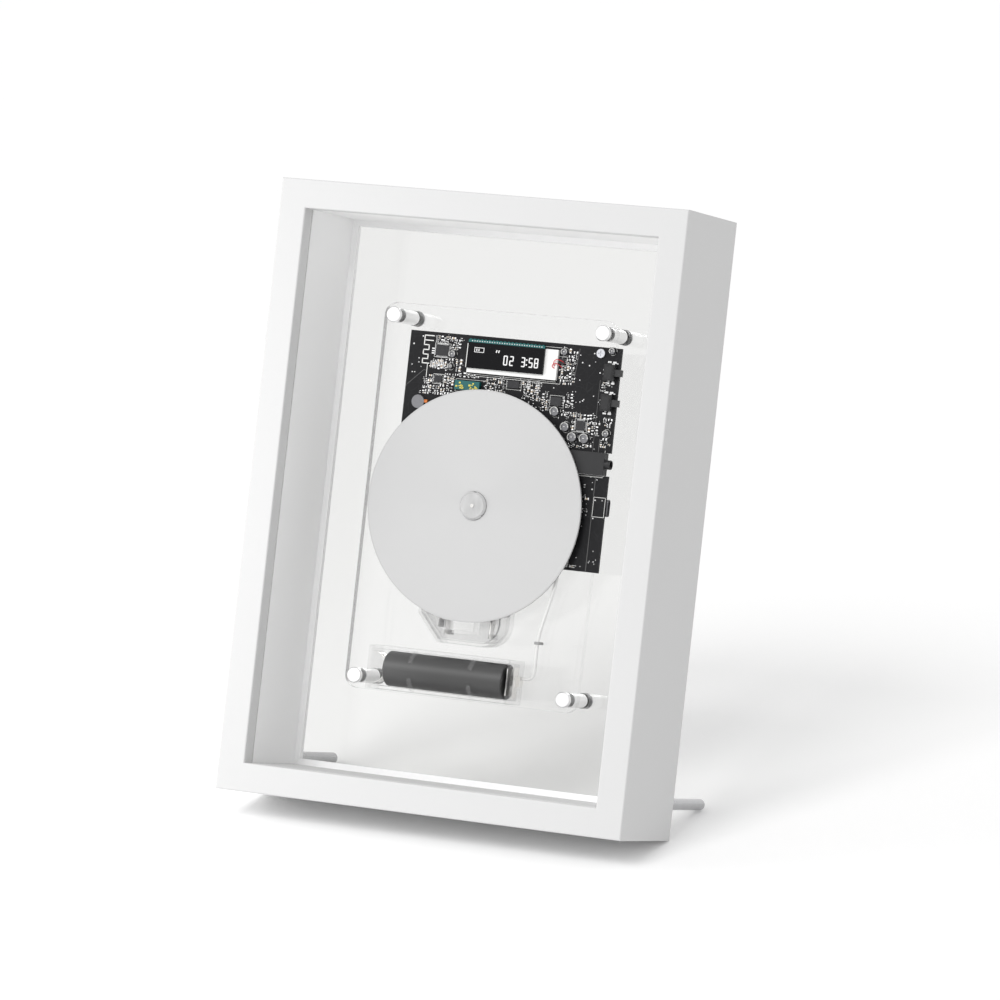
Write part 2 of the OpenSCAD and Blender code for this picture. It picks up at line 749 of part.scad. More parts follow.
module switch_bodies() {
    color([0.12, 0.12, 0.13]) lean() for (z = [power_z, play_z]) difference() {
        block([switch_x - switch_w, board_front - switch_t, z - switch_h / 2],
              [switch_x, board_front, z + switch_h / 2]);
        block([switch_x - key_in - key_travel - 0.2, switch_y - key_y / 2 - key_side, z - key_h / 2 - key_side],
              [switch_x + 1, switch_y + key_y / 2 + key_side, z + key_h / 2 + key_side]);
    }
}

module button(z) {
    color([0.2, 0.2, 0.2]) lean()
        block([switch_x - key_in, switch_y - key_y / 2, z - key_h / 2],
              [switch_x + key_out, switch_y + key_y / 2, z + key_h / 2]);
}
module power_button() { button(power_z); }
module play_button() { button(play_z); }

// ---- battery ----

lead_y = board_front - 1.5;
cell_r = cell_d / 2;
cell_gap = 0.4;                       // clearance round the cell
holder_floor = plate_front - 2;
cell_y = holder_floor - cell_gap - cell_r;
holder_x0 = -cell_left - leaf_space - holder_wall;
holder_x1 = cell_len - cell_left + tail_plate + holder_wall;
holder_in = cell_r + cell_gap;        // half the height of the holder's inside
holder_out = holder_in + holder_wall;
fingers = [-20.2, 13.5];
holder_fixings = [[-20, cell_z], [14, cell_z]];
holder_screw_r = 1.2;
end_top = cell_y - 5.5;               // front edge of the end walls
side_top = cell_y - 2.5;              // front edge of the long walls

finger_end = 25;                      // angle above the middle where a finger ends

module finger(x, s) {
    // Arc that starts on the long wall and hooks over the cell
    translate([x, cell_y, cell_z]) mirror([0, 0, s > 0 ? 0 : 1]) intersection() {
        difference() {
            bar_x([-finger_w / 2, 0, 0], cell_r + 0.3 + 1.4, finger_w);
            bar_x([-finger_w, 0, 0], cell_r + 0.3, 2 * finger_w);
        }
        rotate([90, 0, 90]) translate([0, 0, -finger_w])
            linear_extrude(2 * finger_w)
                polygon([[0, 0], [-0.5, cell_d], [-cell_d, cell_d], [-cell_d, cell_d * tan(finger_end)]]);
    }
}

module battery_holder() {
    color("azure") lean() difference() {
        union() {
            block([holder_x0, holder_floor, cell_z - holder_out], [holder_x1, plate_front, cell_z + holder_out]);
            for (s = [-1, 1]) {
                block([holder_x0, side_top, cell_z + (s > 0 ? holder_in : -holder_out)],
                      [holder_x1, holder_floor, cell_z + (s > 0 ? holder_out : -holder_in)]);
                for (x = fingers) finger(x, s);
            }
            for (x = [holder_x0, holder_x1 - holder_wall])
                block([x, end_top, cell_z - holder_out], [x + holder_wall, holder_floor, cell_z + holder_out]);
        }
        for (p = holder_fixings) {
            bar_y([p[0], holder_floor - 1, p[1]], holder_screw_r + fit, 4);
            bar_y([p[0], holder_floor - 1, p[1]], 2.3, 2.2);
        }
        bar_x([holder_x1 - holder_wall - 1, tag_y, cell_z], rivet_r + fit, holder_wall + 2);
    }
}

module holder_screws() {
    color("silver") lean() for (p = holder_fixings) {
        bar_y([p[0], holder_floor + 1.2, p[1]], holder_screw_r, plate_back - holder_floor - 1.2);
        cross_head([p[0], holder_floor + 1.2, p[1]], 2.2, 1.1, -1);
    }
}

module battery_cell() {
    // Sleeved cell: rolled edge at the left, flat rim and button at the right
    edge = 1;
    button = 1.2;
    color([0.22, 0.22, 0.23]) lean() translate([-cell_left, cell_y, cell_z]) rotate([0, 90, 0]) {
        cylinder(r1 = cell_r - edge, r2 = cell_r, h = edge);
        translate([0, 0, edge]) cylinder(r = cell_r, h = cell_len - edge - button);
        translate([0, 0, cell_len - button]) cylinder(r = 3.2, h = button);
    }
}

tag_y = lead_y - 1.6;                 // depth of the rivet that carries the solder tag
tag_reach = 1.6;
leaf_half = 3.5;                      // half the width of the leaf
plate_half = 7;                       // half the height of the plate
rivet_r = 1;

module cell_contacts() {
    // Bowed leaf at the left, flat plate with a riveted solder tag at the right
    n = 10;
    t = 0.4;
    w = cell_r * 0.9;
    x0 = holder_x0 + holder_wall;
    x1 = holder_x1 - holder_wall;
    outer = [for (i = [0:n]) let (a = 180 * i / n) [x0 + t + (leaf_space - t) * sin(a), cell_z - w * cos(a)]];
    inner = [for (i = [n:-1:0]) let (a = 180 * i / n) [x0 + (leaf_space - t) * sin(a), cell_z - w * cos(a)]];
    color("lightgray") lean() {
        sheet(cell_y - leaf_half, cell_y + leaf_half) polygon(concat(outer, inner));
        block([x1 - tail_plate, cell_y - 5, cell_z - plate_half],
              [x1, tag_y + 2 * rivet_r, cell_z + plate_half]);
        bar_x([x1 - tail_plate / 2, tag_y, cell_z], rivet_r, holder_wall + tail_plate / 2 + 0.2);
        block([holder_x1, tag_y - 1.6, cell_z - 2], [holder_x1 + tag_reach, tag_y + 2.6, cell_z + 3.4]);
        block([holder_x1, cell_y - 1.4, cell_z - 8], [holder_x1 + 0.3, tag_y - 1.2, cell_z + 8]);
    }
}

// Route of the battery lead: x from the spindle, height from the spindle
lead_route = [
    [holder_x1 + tag_reach, -85.4], [38.6, -85.4], [40.2, -85.1], [41.4, -84.3], [42.2, -83], [42.5, -81],
    [42.5, -76], [42.5, -70], [42.5, -65.6], [43, -61.6], [44, -57], [45.2, -51.6], [46.6, -46], [47.8, -41],
    [48.7, -37], [49.2, -33.4], [lead_socket_x, -30], [lead_socket_x, 1 - board_low]
];

module battery_lead() {
    // Round tube swept along the route, which lies in one upright plane
    n = 8;
    r = lead_d / 2;
    m = len(lead_route);
    last = m - 1;
    function at(i) = lead_route[i];
    function way(i) = let (d = i == 0 ? [1, 0] : i == last ? [0, 1] : at(i + 1) - at(i - 1)) d / norm(d);
    rings = [for (i = [0:last], j = [0:n - 1]) let (a = 360 * (j + 0.5) / n, d = way(i))
        [at(i)[0] + r * cos(a) * d[1], lead_y + r * sin(a), disc_z + at(i)[1] - r * cos(a) * d[0]]];
    quads = [for (i = [0:last - 1], j = [0:n - 1]) let (k = (j + 1) % n)
        [i * n + j, i * n + k, (i + 1) * n + k, (i + 1) * n + j]];
    tris = [for (q = quads) for (t = [[q[0], q[2], q[1]], [q[0], q[3], q[2]]]) t];
    ends = [[for (j = [0:n - 1]) j], [for (j = [n - 1:-1:0]) last * n + j]];
    color("whitesmoke") lean() polyhedron(concat(rings), concat(tris, ends));
}

clip_x = 42.5;
clip_z = disc_z - 66.4;
clip_wall = 0.4;
clip_h = 1.4;

module lead_clip() {
    half = lead_d / 2 + clip_wall;
    color("dimgray") lean() difference() {
        block([clip_x - half, lead_y - half, clip_z - clip_h / 2],
              [clip_x + half, plate_front, clip_z + clip_h / 2]);
        bar_z([clip_x, lead_y, clip_z - 2], lead_d / 2 + fit, 4);
    }
}

// ---- drive housing ----

// The housing's outline, drawn in by a wall: cut corners at the left, round ones at the right
function housing_outline(in) =
    let (l = -tub_left + in, b = disc_z - tub_low, t = disc_z + tub_top, r = tub_right - tub_round,
         slope = norm([tub_cut_x, tub_cut_z]),
         cx = tub_cut_x - in * (1 - (slope - tub_cut_x) / tub_cut_z),
         cz = tub_cut_z - in * (1 - (slope - tub_cut_z) / tub_cut_x))
    concat([[l, b + in + cz], [l + cx, b + in]],
           arc(r, b + tub_round, tub_round - in, 270, 360, 6), arc(r, t - tub_round, tub_round - in, 0, 90, 6),
           [[l + cx, t - in], [l, t - in - cz]]);

ear_t = 2;
ear_low = 41;             // distance of the lower ears below the spindle
ear_high = 9;             // distance of the upper ears above it
ear_out = ear_r - 0.4;
drive_screw_r = 1.2;
drive_fixings = [
    for (z = [-ear_low, ear_high]) for (x = [-tub_left - ear_out, tub_right + ear_out]) [x, disc_z + z]
];
ribbon_x = -6;
ribbon_w = 12;

module drive_housing() {
    color("azure") lean() difference() {
        union() {
            sheet(deck_front, tub_back) polygon(housing_outline(0));
            for (p = drive_fixings) {
                bar_y([p[0], plate_front - ear_t, p[1]], ear_r, ear_t);
                x1 = p[0] > 0 ? tub_right : -tub_left;
                block([min(p[0], x1), plate_front - ear_t, p[1] - ear_r],
                      [max(p[0], x1), plate_front, p[1] + ear_r]);
            }
        }
        sheet(deck_front - 1, tub_floor) polygon(housing_outline(tub_wall));
        for (p = drive_fixings) bar_y([p[0], plate_front - ear_t - 1, p[1]], drive_screw_r + fit, ear_t + 2);
        for (p = damper_places) bar_y([p[0], tub_floor - 1, p[1]], damper_screw_r + fit, tub_wall + 2);
        block([ribbon_x - 0.5, deck_front - 1, disc_z + tub_top - tub_wall - 1],
              [ribbon_x + ribbon_w + 0.5, chassis_front, disc_z + tub_top + 1]);
    }
}

module drive_deck() {
    color("azure") lean() difference() {
        sheet(deck_front, deck_back) polygon(housing_outline(tub_wall + fit));
        bar_y([0, deck_front - 1, disc_z], boss_r + 1, deck_t + 2);
        block([-lens_w / 2 - 1.4, deck_front - 1, disc_z - pickup_max - lens_h / 2 - 1],
              [lens_w / 2 + 1.4, deck_back + 1, disc_z - pickup_min + lens_h / 2 + 1]);
    }
}

module drive_screws() {
    // Four hold the housing to the carrier, four go through its floor and the dampers
    color("silver") lean() {
        for (p = drive_fixings) {
            bar_y([p[0], plate_front - ear_t, p[1]], drive_screw_r, plate_back - plate_front + ear_t);
            cross_head([p[0], plate_front - ear_t, p[1]], 2.1, 1, -1);
        }
        for (p = damper_places) {
            bar_y([p[0], chassis_front, p[1]], damper_screw_r, tub_back - chassis_front);
            cross_head([p[0], tub_back, p[1]], 1.9, 1, 1);
        }
    }
}

// ---- chassis on its dampers ----

ear_half = 6.4;           // half the length of the sled's bearings
sled_half = 8.5;          // half the length of the sled's body
damper_r = damper_d / 2;
chassis_in = tub_wall + 0.8;              // the chassis's edge, from the housing's outside
damper_in = chassis_in + damper_r;
damper_low = 53.4;                        // distance of the lower dampers below the spindle
damper_high = 10.8;                       // distance of the upper dampers above it
damper_places = [
    for (z = [-damper_low, damper_high])
        for (x = [damper_in - tub_left, tub_right - damper_in]) [x, disc_z + z]
];
damper_screw_r = 0.8;
rod_y = chassis_back + 4.4;
post_t = 2.4;
post_low = disc_z - pickup_max - ear_half - 0.4 - post_t;
post_high = disc_z - pickup_min + sled_half + 0.4;
post_half = rod_d / 2 + 1.1;
screw_low = disc_z - pickup_max - 1.8;     // top of the lead screw's lower bearing
screw_tip_r = 0.8;

module chassis() {
    color("azure") lean() difference() {
        union() {
            sheet(chassis_front, chassis_back) polygon(housing_outline(chassis_in));
            intersection() {
                sheet(chassis_back, rod_y + post_half) polygon(housing_outline(chassis_in));
                union() {
                    for (s = [-1, 1], z = [post_low, post_high])
                        block([s * rod_x - post_half, chassis_back, z],
                              [s * rod_x + post_half, rod_y + post_half, z + post_t]);
                    block([-lead_screw_x - 2, chassis_back, screw_low - 4],
                          [-lead_screw_x + 1.5, rod_y + 2, screw_low]);
                }
            }
        }
        block([-ped_w / 2 - 1.5, chassis_front - 1, disc_z - pickup_max - ped_h / 2 - 1],
              [ped_w / 2 + 1.5, chassis_back + 1, disc_z - pickup_min + ped_h / 2 + 1]);
        bar_y([0, chassis_front - 1, disc_z], boss_r + 0.6, chassis_t + 2);
        for (s = [-1, 1])
            bar_z([s * rod_x, rod_y, post_low - 1], rod_d / 2, post_high - post_low + post_t + 2);
        bar_z([-lead_screw_x, rod_y, screw_low - 5], screw_tip_r + run, 6);
        for (p = damper_places) bar_y([p[0], chassis_front - 1, p[1]], damper_screw_r + fit, chassis_t + 2);
    }
}

module dampers() {
    color("black") lean() for (p = damper_places) difference() {
        bar_y([p[0], chassis_back, p[1]], damper_r, tub_floor - chassis_back);
        bar_y([p[0], chassis_back - 1, p[1]], damper_screw_r + fit, tub_floor - chassis_back + 2);
    }
}

// ---- spindle ----

boss_r = 3;
hub_r = disc_hole / 2 - 0.15;
hub_lead = 1;             // bevel that guides the disc onto the hub
ball_r = 1.1;

module spindle_motor() {
    color("silver") lean() difference() {
        bar_y([0, chassis_back, disc_z], motor_d / 2, motor_t);
        bar_y([0, chassis_back - 1, disc_z], shaft_d / 2 + run, motor_t);
    }
}

module turntable() {
    color("whitesmoke") lean() difference() {
        union() {
            bar_y([0, disc_back, disc_z], table_d / 2, table_t);
            bar_y([0, disc_back, disc_z], boss_r, chassis_front - 0.2 - disc_back);
            bar_y([0, disc_front - hub_reach, disc_z], hub_r - hub_lead, disc_t + hub_reach + table_t);
            bar_y([0, disc_front - hub_reach + hub_lead, disc_z], hub_r, disc_t + hub_reach - hub_lead + table_t);
            translate([0, disc_front - hub_reach, disc_z]) rotate([-90, 0, 0])
                cylinder(r1 = hub_r - hub_lead, r2 = hub_r, h = hub_lead);
        }
        bar_y([0, disc_front - hub_reach - 1, disc_z], shaft_d / 2, chassis_front);
        at_balls() bar_x([-ball_r, 0, 0], ball_r, ball_r + 3);
    }
}

// Three balls in the hub that centre and hold the disc
module at_balls() {
    for (a = [35, 155, 275]) translate([0, disc_front, disc_z]) rotate([0, a, 0])
        translate([hub_r + 0.1 - ball_r, 0, 0]) children();
}

module chuck_balls() { color("silver") lean() at_balls() sphere(r = ball_r); }

module spindle_shaft() {
    y0 = disc_front - hub_reach - 0.3;
    color("white") lean() bar_y([0, y0, disc_z], shaft_d / 2, chassis_back + motor_t - 1.4 - y0);
}

module disc() {
    color("gainsboro") lean() difference() {
        bar_y([0, disc_front, disc_z], disc_d / 2, disc_t, $fn = 128);
        bar_y([0, disc_front - 1, disc_z], disc_hole / 2, disc_t + 2);
    }
}

// ---- pickup ----

sled_w = 9.4;             // half the width of the sled's body
fork_half = 4;            // half the length of the fork round the right rod
rider_h = 7;              // length of the rider on the lead screw
lens_w = 9.2;
lens_h = 10.4;
ped_w = 13;
ped_h = 14;
sled_front = chassis_back + 0.5;
sled_back = rod_y + 3;
holder_front = deck_front + 0.4;
holder_back = chassis_front - 1.2;

module pickup_sled() {
    color([0.15, 0.15, 0.16]) lean() translate([0, 0, lens_z]) difference() {
        union() {
            block([-sled_w, sled_front, -sled_half], [sled_w, sled_back, sled_half]);
            block([-ped_w / 2, chassis_front - 0.5, -ped_h / 2], [ped_w / 2, sled_front, ped_h / 2]);
            block([-rod_x - post_half, rod_y - 2.4, -ear_half], [-sled_w, rod_y + 2.4, ear_half]);
            block([sled_w, rod_y - 2.2, -fork_half], [rod_x + rod_d / 2 + 0.2, rod_y + 2.2, fork_half]);
            block([-lead_screw_x - 1.6, sled_front, -1],
                  [-sled_w, rod_y - lead_screw_d / 2 + 0.3, rider_h - 1]);
            bar_y([5, sled_back, -4], 2.8, 1.2);
        }
        bar_z([-rod_x, rod_y, -ear_half - 1], rod_d / 2 + run, 2 * ear_half + 2);
        bar_z([rod_x, rod_y, -fork_half - 1], rod_d / 2 + run, 2 * fork_half + 2);
        block([rod_x, rod_y - rod_d / 2 - run, -fork_half - 1],
              [rod_x + rod_d, rod_y + rod_d / 2 + run, fork_half + 1]);
        bar_z([-lead_screw_x, rod_y, -2], lead_screw_d / 2 + 0.15, rider_h + 2);
    }
}

module lens_holder() {
    color([0.1, 0.1, 0.1]) lean() difference() {
        block([-lens_w / 2, holder_front, lens_z - lens_h / 2], [lens_w / 2, holder_back, lens_z + lens_h / 2]);
        bar_y([0, holder_front - 1, lens_z], lens_d / 2, 5);
    }
}

module lens() {
    color("lightblue") lean() {
        bar_y([0, holder_front, lens_z], lens_d / 2, 1.2);
        translate([0, holder_front - 0.4, lens_z]) rotate([-90, 0, 0])
            cylinder(r1 = lens_d / 2 - 0.7, r2 = lens_d / 2 - 0.1, h = 0.4);
    }
}

module guide_rods() {
    color("silver") lean() for (s = [-1, 1])
        bar_z([s * rod_x, rod_y, post_low], rod_d / 2, post_high + post_t - post_low);
}

feed_z = post_high + 3;       // lower face of the feed motor's bracket

module lead_screw() {
    color("silver") lean() {
        bar_z([-lead_screw_x, rod_y, screw_low + 0.3], lead_screw_d / 2, feed_z - screw_low - 0.8);
        bar_z([-lead_screw_x, rod_y, screw_low - 3], screw_tip_r, 4);
        bar_z([-lead_screw_x, rod_y, feed_z - 1.5], screw_tip_r, 5);
    }
}

module feed_motor() {
    r = feed_motor_d / 2;
    color("silver") lean() difference() {
        union() {
            block([-lead_screw_x - r, chassis_back, feed_z], [-lead_screw_x + r, rod_y + r, feed_z + 0.8]);
            bar_z([-lead_screw_x, rod_y, feed_z + 0.8], r, 11);
        }
        bar_z([-lead_screw_x, rod_y, feed_z - 1], screw_tip_r + run, 6);
    }
}

module pickup_ribbon() {
    // Flat ribbon from the chassis, out through the housing's top, to its socket on the board
    t = 0.3;
    edge = disc_z + tub_top + notch_gap;
    a = [chassis_front, disc_z + 12];
    b = [chassis_front, disc_z + 18];
    c = [board_front, edge - 0.4];
    d = [board_front, edge + 4];
    color("darkorange") lean() {
        translate([ribbon_x, 0, 0]) rotate([90, 0, 90]) linear_extrude(ribbon_w)
            polygon([a, b, c, d, d - [t, 0], c - [t, 0], b - [t, 0], a - [t, 0]]);
        block([ribbon_x - 1, board_front - 1.8, edge + 3],
              [ribbon_x + ribbon_w + 1, board_front, edge + 6]);
    }
}

rail_top();
rail_bottom();
rail_left();
rail_right();
corner_keys();
liner_boards();
panel_ledge();
back_panel();
panel_tabs();
tab_screws();
stand_pegs();
peg_bushes();
wall_hangers();
hanger_screws();
wall_bumpers();
carrier_plate();
standoff_barrels();
standoff_caps();
standoff_rings();
standoff_washers();
standoff_screws();
main_board();
board_spacers();
board_screws();
display_guide();
display_glass();
display_pins();
chips();
capacitors();
shield_can();
radio_module();
headphone_socket();
charge_socket();
switch_bodies();
power_button();
play_button();
lead_socket();
battery_holder();
battery_cell();
cell_contacts();
holder_screws();
battery_lead();
lead_clip();
drive_housing();
drive_deck();
drive_screws();
chassis();
dampers();
spindle_motor();
turntable();
chuck_balls();
spindle_shaft();
disc();
pickup_sled();
lens_holder();
lens();
guide_rods();
lead_screw();
feed_motor();
pickup_ribbon();
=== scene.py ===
import math
import random

import bmesh
import bpy
from bpy.props import FloatProperty, FloatVectorProperty, IntProperty, PointerProperty
from mathutils import Matrix, Vector


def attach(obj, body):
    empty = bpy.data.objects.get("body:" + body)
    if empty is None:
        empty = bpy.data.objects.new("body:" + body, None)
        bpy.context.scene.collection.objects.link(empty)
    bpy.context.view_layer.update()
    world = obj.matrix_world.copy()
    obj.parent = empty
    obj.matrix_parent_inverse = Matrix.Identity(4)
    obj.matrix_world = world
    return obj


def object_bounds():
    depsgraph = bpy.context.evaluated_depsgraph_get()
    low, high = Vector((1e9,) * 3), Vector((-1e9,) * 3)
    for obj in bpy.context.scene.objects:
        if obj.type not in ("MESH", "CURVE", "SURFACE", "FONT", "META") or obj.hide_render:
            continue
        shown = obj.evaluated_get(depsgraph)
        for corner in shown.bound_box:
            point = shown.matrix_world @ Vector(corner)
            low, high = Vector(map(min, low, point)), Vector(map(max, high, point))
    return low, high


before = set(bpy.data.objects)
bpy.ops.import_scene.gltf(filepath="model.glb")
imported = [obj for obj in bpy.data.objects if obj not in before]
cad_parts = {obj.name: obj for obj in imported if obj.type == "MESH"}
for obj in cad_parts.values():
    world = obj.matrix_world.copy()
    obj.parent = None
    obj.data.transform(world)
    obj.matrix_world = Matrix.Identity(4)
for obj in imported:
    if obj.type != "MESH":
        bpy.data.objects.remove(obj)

bl_info = {
    "name": "Picture frame disc player",
    "version": (1, 0, 0),
    "blender": (4, 5, 0),
    "location": "3D View > Sidebar > Disc player",
    "description": "Dresses the packed disc player and sets its stage",
    "category": "Object",
}

CAD_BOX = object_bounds()

# The case leans back, so each new piece is modelled upright, in millimetres from
# the case's lower front edge, and LEAN_BACK then lays it into the row's frame.
MM = 0.001
LEAN = math.radians(15.2)
CASE_DEPTH = 66.0
ROW_OFFSET = 10.533
LEAN_BACK = (
    Matrix.Scale(MM, 4)
    @ Matrix.Translation((0, -ROW_OFFSET, 0))
    @ Matrix.Rotation(-LEAN, 4, "X")
    @ Matrix.Translation((0, -CASE_DEPTH, 0))
)

SPINDLE_Z = 159.4
BOARD_FACE = 36.4
GLASS_FACE = 33.1
MODULE_FACE = 34.0
CAPACITOR_FACE = 34.3
# PLATE_SIDE also sets where the painted shade on the clear plates' left cut edges begins and is full.
PLATE_SIDE = (64.0, 65.0)  # how far to the left the plate's bare side starts and is full
PRINT_THICK = 0.03
LIT_THICK = 0.05
SEED = 7

QUARTER = math.pi / 2
SMOOTH_ANGLE = math.radians(35)
EDGE_ANGLE = math.radians(30)
SEEN_RAYS = ("Is Camera Ray", "Is Glossy Ray", "Is Transmission Ray")
WHOLE = (1.0, 1.0, 1.0)

# Chips and capacitors as the source places them: a chip's centre and size, and a
# capacitor's centre and radius.
CHIPS = (
    (-29.2, 237.8, 7.0, 5.6),
    (37.8, 217.1, 6.0, 4.4),
    (52.6, 206.0, 5.0, 5.0),
    (13.0, 223.6, 6.5, 3.6),
    (-29.8, 222.9, 4.2, 3.4),
    (38.5, 237.9, 3.2, 3.0),
)
CAPACITORS = (
    (37.7, 212.0, 2.4),
    (44.3, 204.6, 2.3),
    (48.9, 199.7, 2.4),
    (55.6, 199.6, 2.5),
    (-23.0, 236.4, 1.8),
    (39.6, 242.8, 1.7),
    (66.0, 245.4, 1.6),
    (67.3, 203.1, 1.7),
    (-23.6, 230.0, 1.3),
)
SWITCH_X = 66.0
SWITCH_ROWS = (234.3, 218.8)


# ---------------------------------------------------------------- materials


class Wire:
    """A shader socket that carries a number, so that a recipe reads as a sum."""

    def __init__(self, recipe, socket):
        self.recipe = recipe
        self.socket = socket

    def sum(self, operation, first, second=0.0):
        return self.recipe.add("Math", {"operation": operation}, {0: first, 1: second})

    def __add__(self, other):
        return self.sum("ADD", self, other)

    def __sub__(self, other):
        return self.sum("SUBTRACT", self, other)

    def __rsub__(self, other):
        return self.sum("SUBTRACT", other, self)

    def __mul__(self, other):
        return self.sum("MULTIPLY", self, other)

    def __pow__(self, other):
        return self.sum("POWER", self, other)

    def __abs__(self):
        return self.sum("ABSOLUTE", self)

    def wave(self):
        return self.sum("SINE", self)

    def most(self, other):
        return self.sum("MAXIMUM", self, other)

    def rise(self, low, high):
        """0 below low, 1 above high, and smooth between."""
        return self.recipe.add(
            "MapRange",
            {"interpolation_type": "SMOOTHSTEP"},
            {0: self, 1: low, 2: high, 3: 0.0, 4: 1.0},
        )

    __radd__ = __add__
    __rmul__ = __mul__


class Tree:
    """The nodes of a material or of the world."""

    def __init__(self, tree):
        self.tree = tree

    def add(self, kind, settings=None, inputs=None, out=0):
        """Adds one node: its settings first, then the values or wires of its sockets."""
        node = self.tree.nodes.new("ShaderNode" + kind)
        for key, value in (settings or {}).items():
            setattr(node, key, value)
        for key, value in (inputs or {}).items():
            self.feed(node.inputs[key], value)
        return Wire(self, node.outputs[out])

    def feed(self, socket, value):
        if isinstance(value, Wire):
            self.tree.links.new(value.socket, socket)
        elif isinstance(value, (tuple, list)) and len(value) == 3 and socket.type == "RGBA":
            socket.default_value = (*value, 1.0)
        else:
            socket.default_value = value

    def ray(self, *kinds):
        """1 for a ray of any of these kinds."""
        path = self.tree.nodes.new("ShaderNodeLightPath")
        share = Wire(self, path.outputs[kinds[0]])
        for kind in kinds[1:]:
            share = share.most(Wire(self, path.outputs[kind]))
        return share


class Recipe(Tree):
    """One procedural material and the nodes behind it."""

    def __init__(self, name, **constants):
        self.material = bpy.data.materials.new(name)
        self.material.use_nodes = True
        super().__init__(self.material.node_tree)
        self.shader = self.tree.nodes["Principled BSDF"]
        self.output = self.tree.nodes["Material Output"]
        for key, value in constants.items():
            self.shader.inputs[key.replace("_", " ")].default_value = value

    def place(self):
        return self.add("TexCoord", out=3)

    def axes(self, place=None):
        """The three parts of a place, each as a wire."""
        node = self.tree.nodes.new("ShaderNodeSeparateXYZ")
        self.feed(node.inputs[0], place or self.place())
        return [Wire(self, socket) for socket in node.outputs]

    def upright(self):
        """The place with the case's lean taken out, in millimetres from its lower front edge."""
        return self.add(
            "Mapping",
            {"vector_type": "POINT"},
            {
                "Vector": self.place(),
                "Location": (0.0, CASE_DEPTH + ROW_OFFSET * math.cos(LEAN), ROW_OFFSET * math.sin(LEAN)),
                "Rotation": (LEAN, 0.0, 0.0),
                "Scale": (1 / MM, 1 / MM, 1 / MM),
            },
        )

    def cloud(self, size, detail=3.0, stretch=(1.0, 1.0, 1.0)):
        """Noise with patches about size metres across."""
        spread = self.add(
            "Mapping", {"vector_type": "POINT"}, {"Vector": self.place(), "Scale": stretch}
        )
        return self.add(
            "TexNoise", {}, {"Vector": spread, "Scale": 1.0 / size, "Detail": detail}
        )

    def cells(self, size):
        """Distance from the middles of cells about size metres across."""
        return self.add("TexVoronoi", {}, {"Vector": self.place(), "Scale": 1.0 / size})

    def blend(self, share, first, second):
        """The first colour where the share is 0 and the second where it is 1."""
        return self.add(
            "Mix", {"data_type": "RGBA"}, {0: share, 6: first, 7: second}, out=2
        )

    def colour(self, value):
        self.feed(self.shader.inputs["Base Color"], value)

    def rough(self, value):
        self.feed(self.shader.inputs["Roughness"], value)

    def relief(self, height, depth, strength=1.0):
        """Feeds a height into the shader's normal, depth in metres."""
        bump = self.add("Bump", {}, {"Height": height, "Distance": depth, "Strength": strength})
        self.feed(self.shader.inputs["Normal"], bump)

    def slant(self, blend=0.5):
        """0 where the surface faces the viewer and 1 where it turns away."""
        return self.add("LayerWeight", {}, {"Blend": blend}, out=1)

    def mirror(self):
        """The share of light that a polished clear surface reflects."""
        return 0.04 + 0.96 * self.slant() ** 5.0

    def film(self, share, tint):
        """Clear film of a tint, with the shader's own surface over a share of it."""
        clear = self.add("BsdfTransparent", {}, {"Color": tint})
        surface = Wire(self, self.shader.outputs[0])
        both = self.add("MixShader", {}, {0: share, 1: clear, 2: surface})
        self.feed(self.output.inputs["Surface"], both)


def grey(level):
    return (level, level, level)


def shade(colour, amount):
    """The colour made lighter or darker by an amount."""
    return tuple(min(1.0, max(0.0, part * amount)) for part in colour)


def painted(name, colour, rough=0.4, grain=0.0009, mottle=0.012, depth=0.00002):
    """Sprayed satin paint: fine orange peel and a faint change of tone."""
    look = Recipe(name)
    patches = look.cloud(0.06, 2.0)
    peel = look.cloud(grain, 2.0)
    look.colour(look.blend(patches, shade(colour, 1 - mottle), shade(colour, 1 + mottle)))
    look.rough(rough - 0.05 + 0.1 * peel)
    look.relief(peel, depth, 0.35)
    return look.material


def card(name, colour):
    """Grey-white mount board with a felted surface, and painted shade that darkens it where it faces up.
    """
    look = Recipe(name, Specular_IOR_Level=0.3)
    # Painted shade: this mask is 1 where the board faces up, and there the colour is darkened to stand in
    # for shade.
    upward_shade = look.axes(look.add("NewGeometry", out=1))[2].rise(0.5, 0.9)
    fibres = look.cloud(0.0005, 4.0, stretch=(1.0, 1.0, 3.0))
    patches = look.cloud(0.03, 3.0)
    tone = look.blend(patches, shade(colour, 0.985), shade(colour, 1.015))
    felt = look.blend(fibres * 0.25, tone, shade(colour, 0.94))
    look.colour(look.blend(upward_shade, felt, shade(colour, 0.68)))
    look.rough(0.62 + 0.2 * fibres)
    look.relief(fibres, 0.00005, 0.35)
    return look.material


def moulded(name, colour, rough=0.42, grain=0.00035, **constants):
    """Moulded plastic with a fine spark-eroded texture and worn, paler high spots."""
    look = Recipe(name, **constants)
    texture = look.cells(grain)
    patches = look.cloud(0.004, 4.0)
    look.colour(look.blend(patches, shade(colour, 0.9), shade(colour, 1.1)))
    look.rough(rough - 0.06 + 0.12 * patches)
    look.relief(texture, 0.00002, 0.3)
    return look.material


def metal(name, colour, rough=0.25, brush=(1.0, 1.0, 1.0), grain=0.0004):
    """Plated or drawn metal: its tool marks run along the long part of brush."""
    look = Recipe(name, Metallic=1.0)
    marks = look.cloud(grain, 4.0, stretch=brush)
    tarnish = look.cloud(0.003, 3.0)
    look.colour(look.blend(tarnish, shade(colour, 0.82), colour))
    look.rough(rough - 0.07 + 0.12 * marks + 0.06 * tarnish)
    look.relief(marks, 0.00001, 0.4)
    return look.material


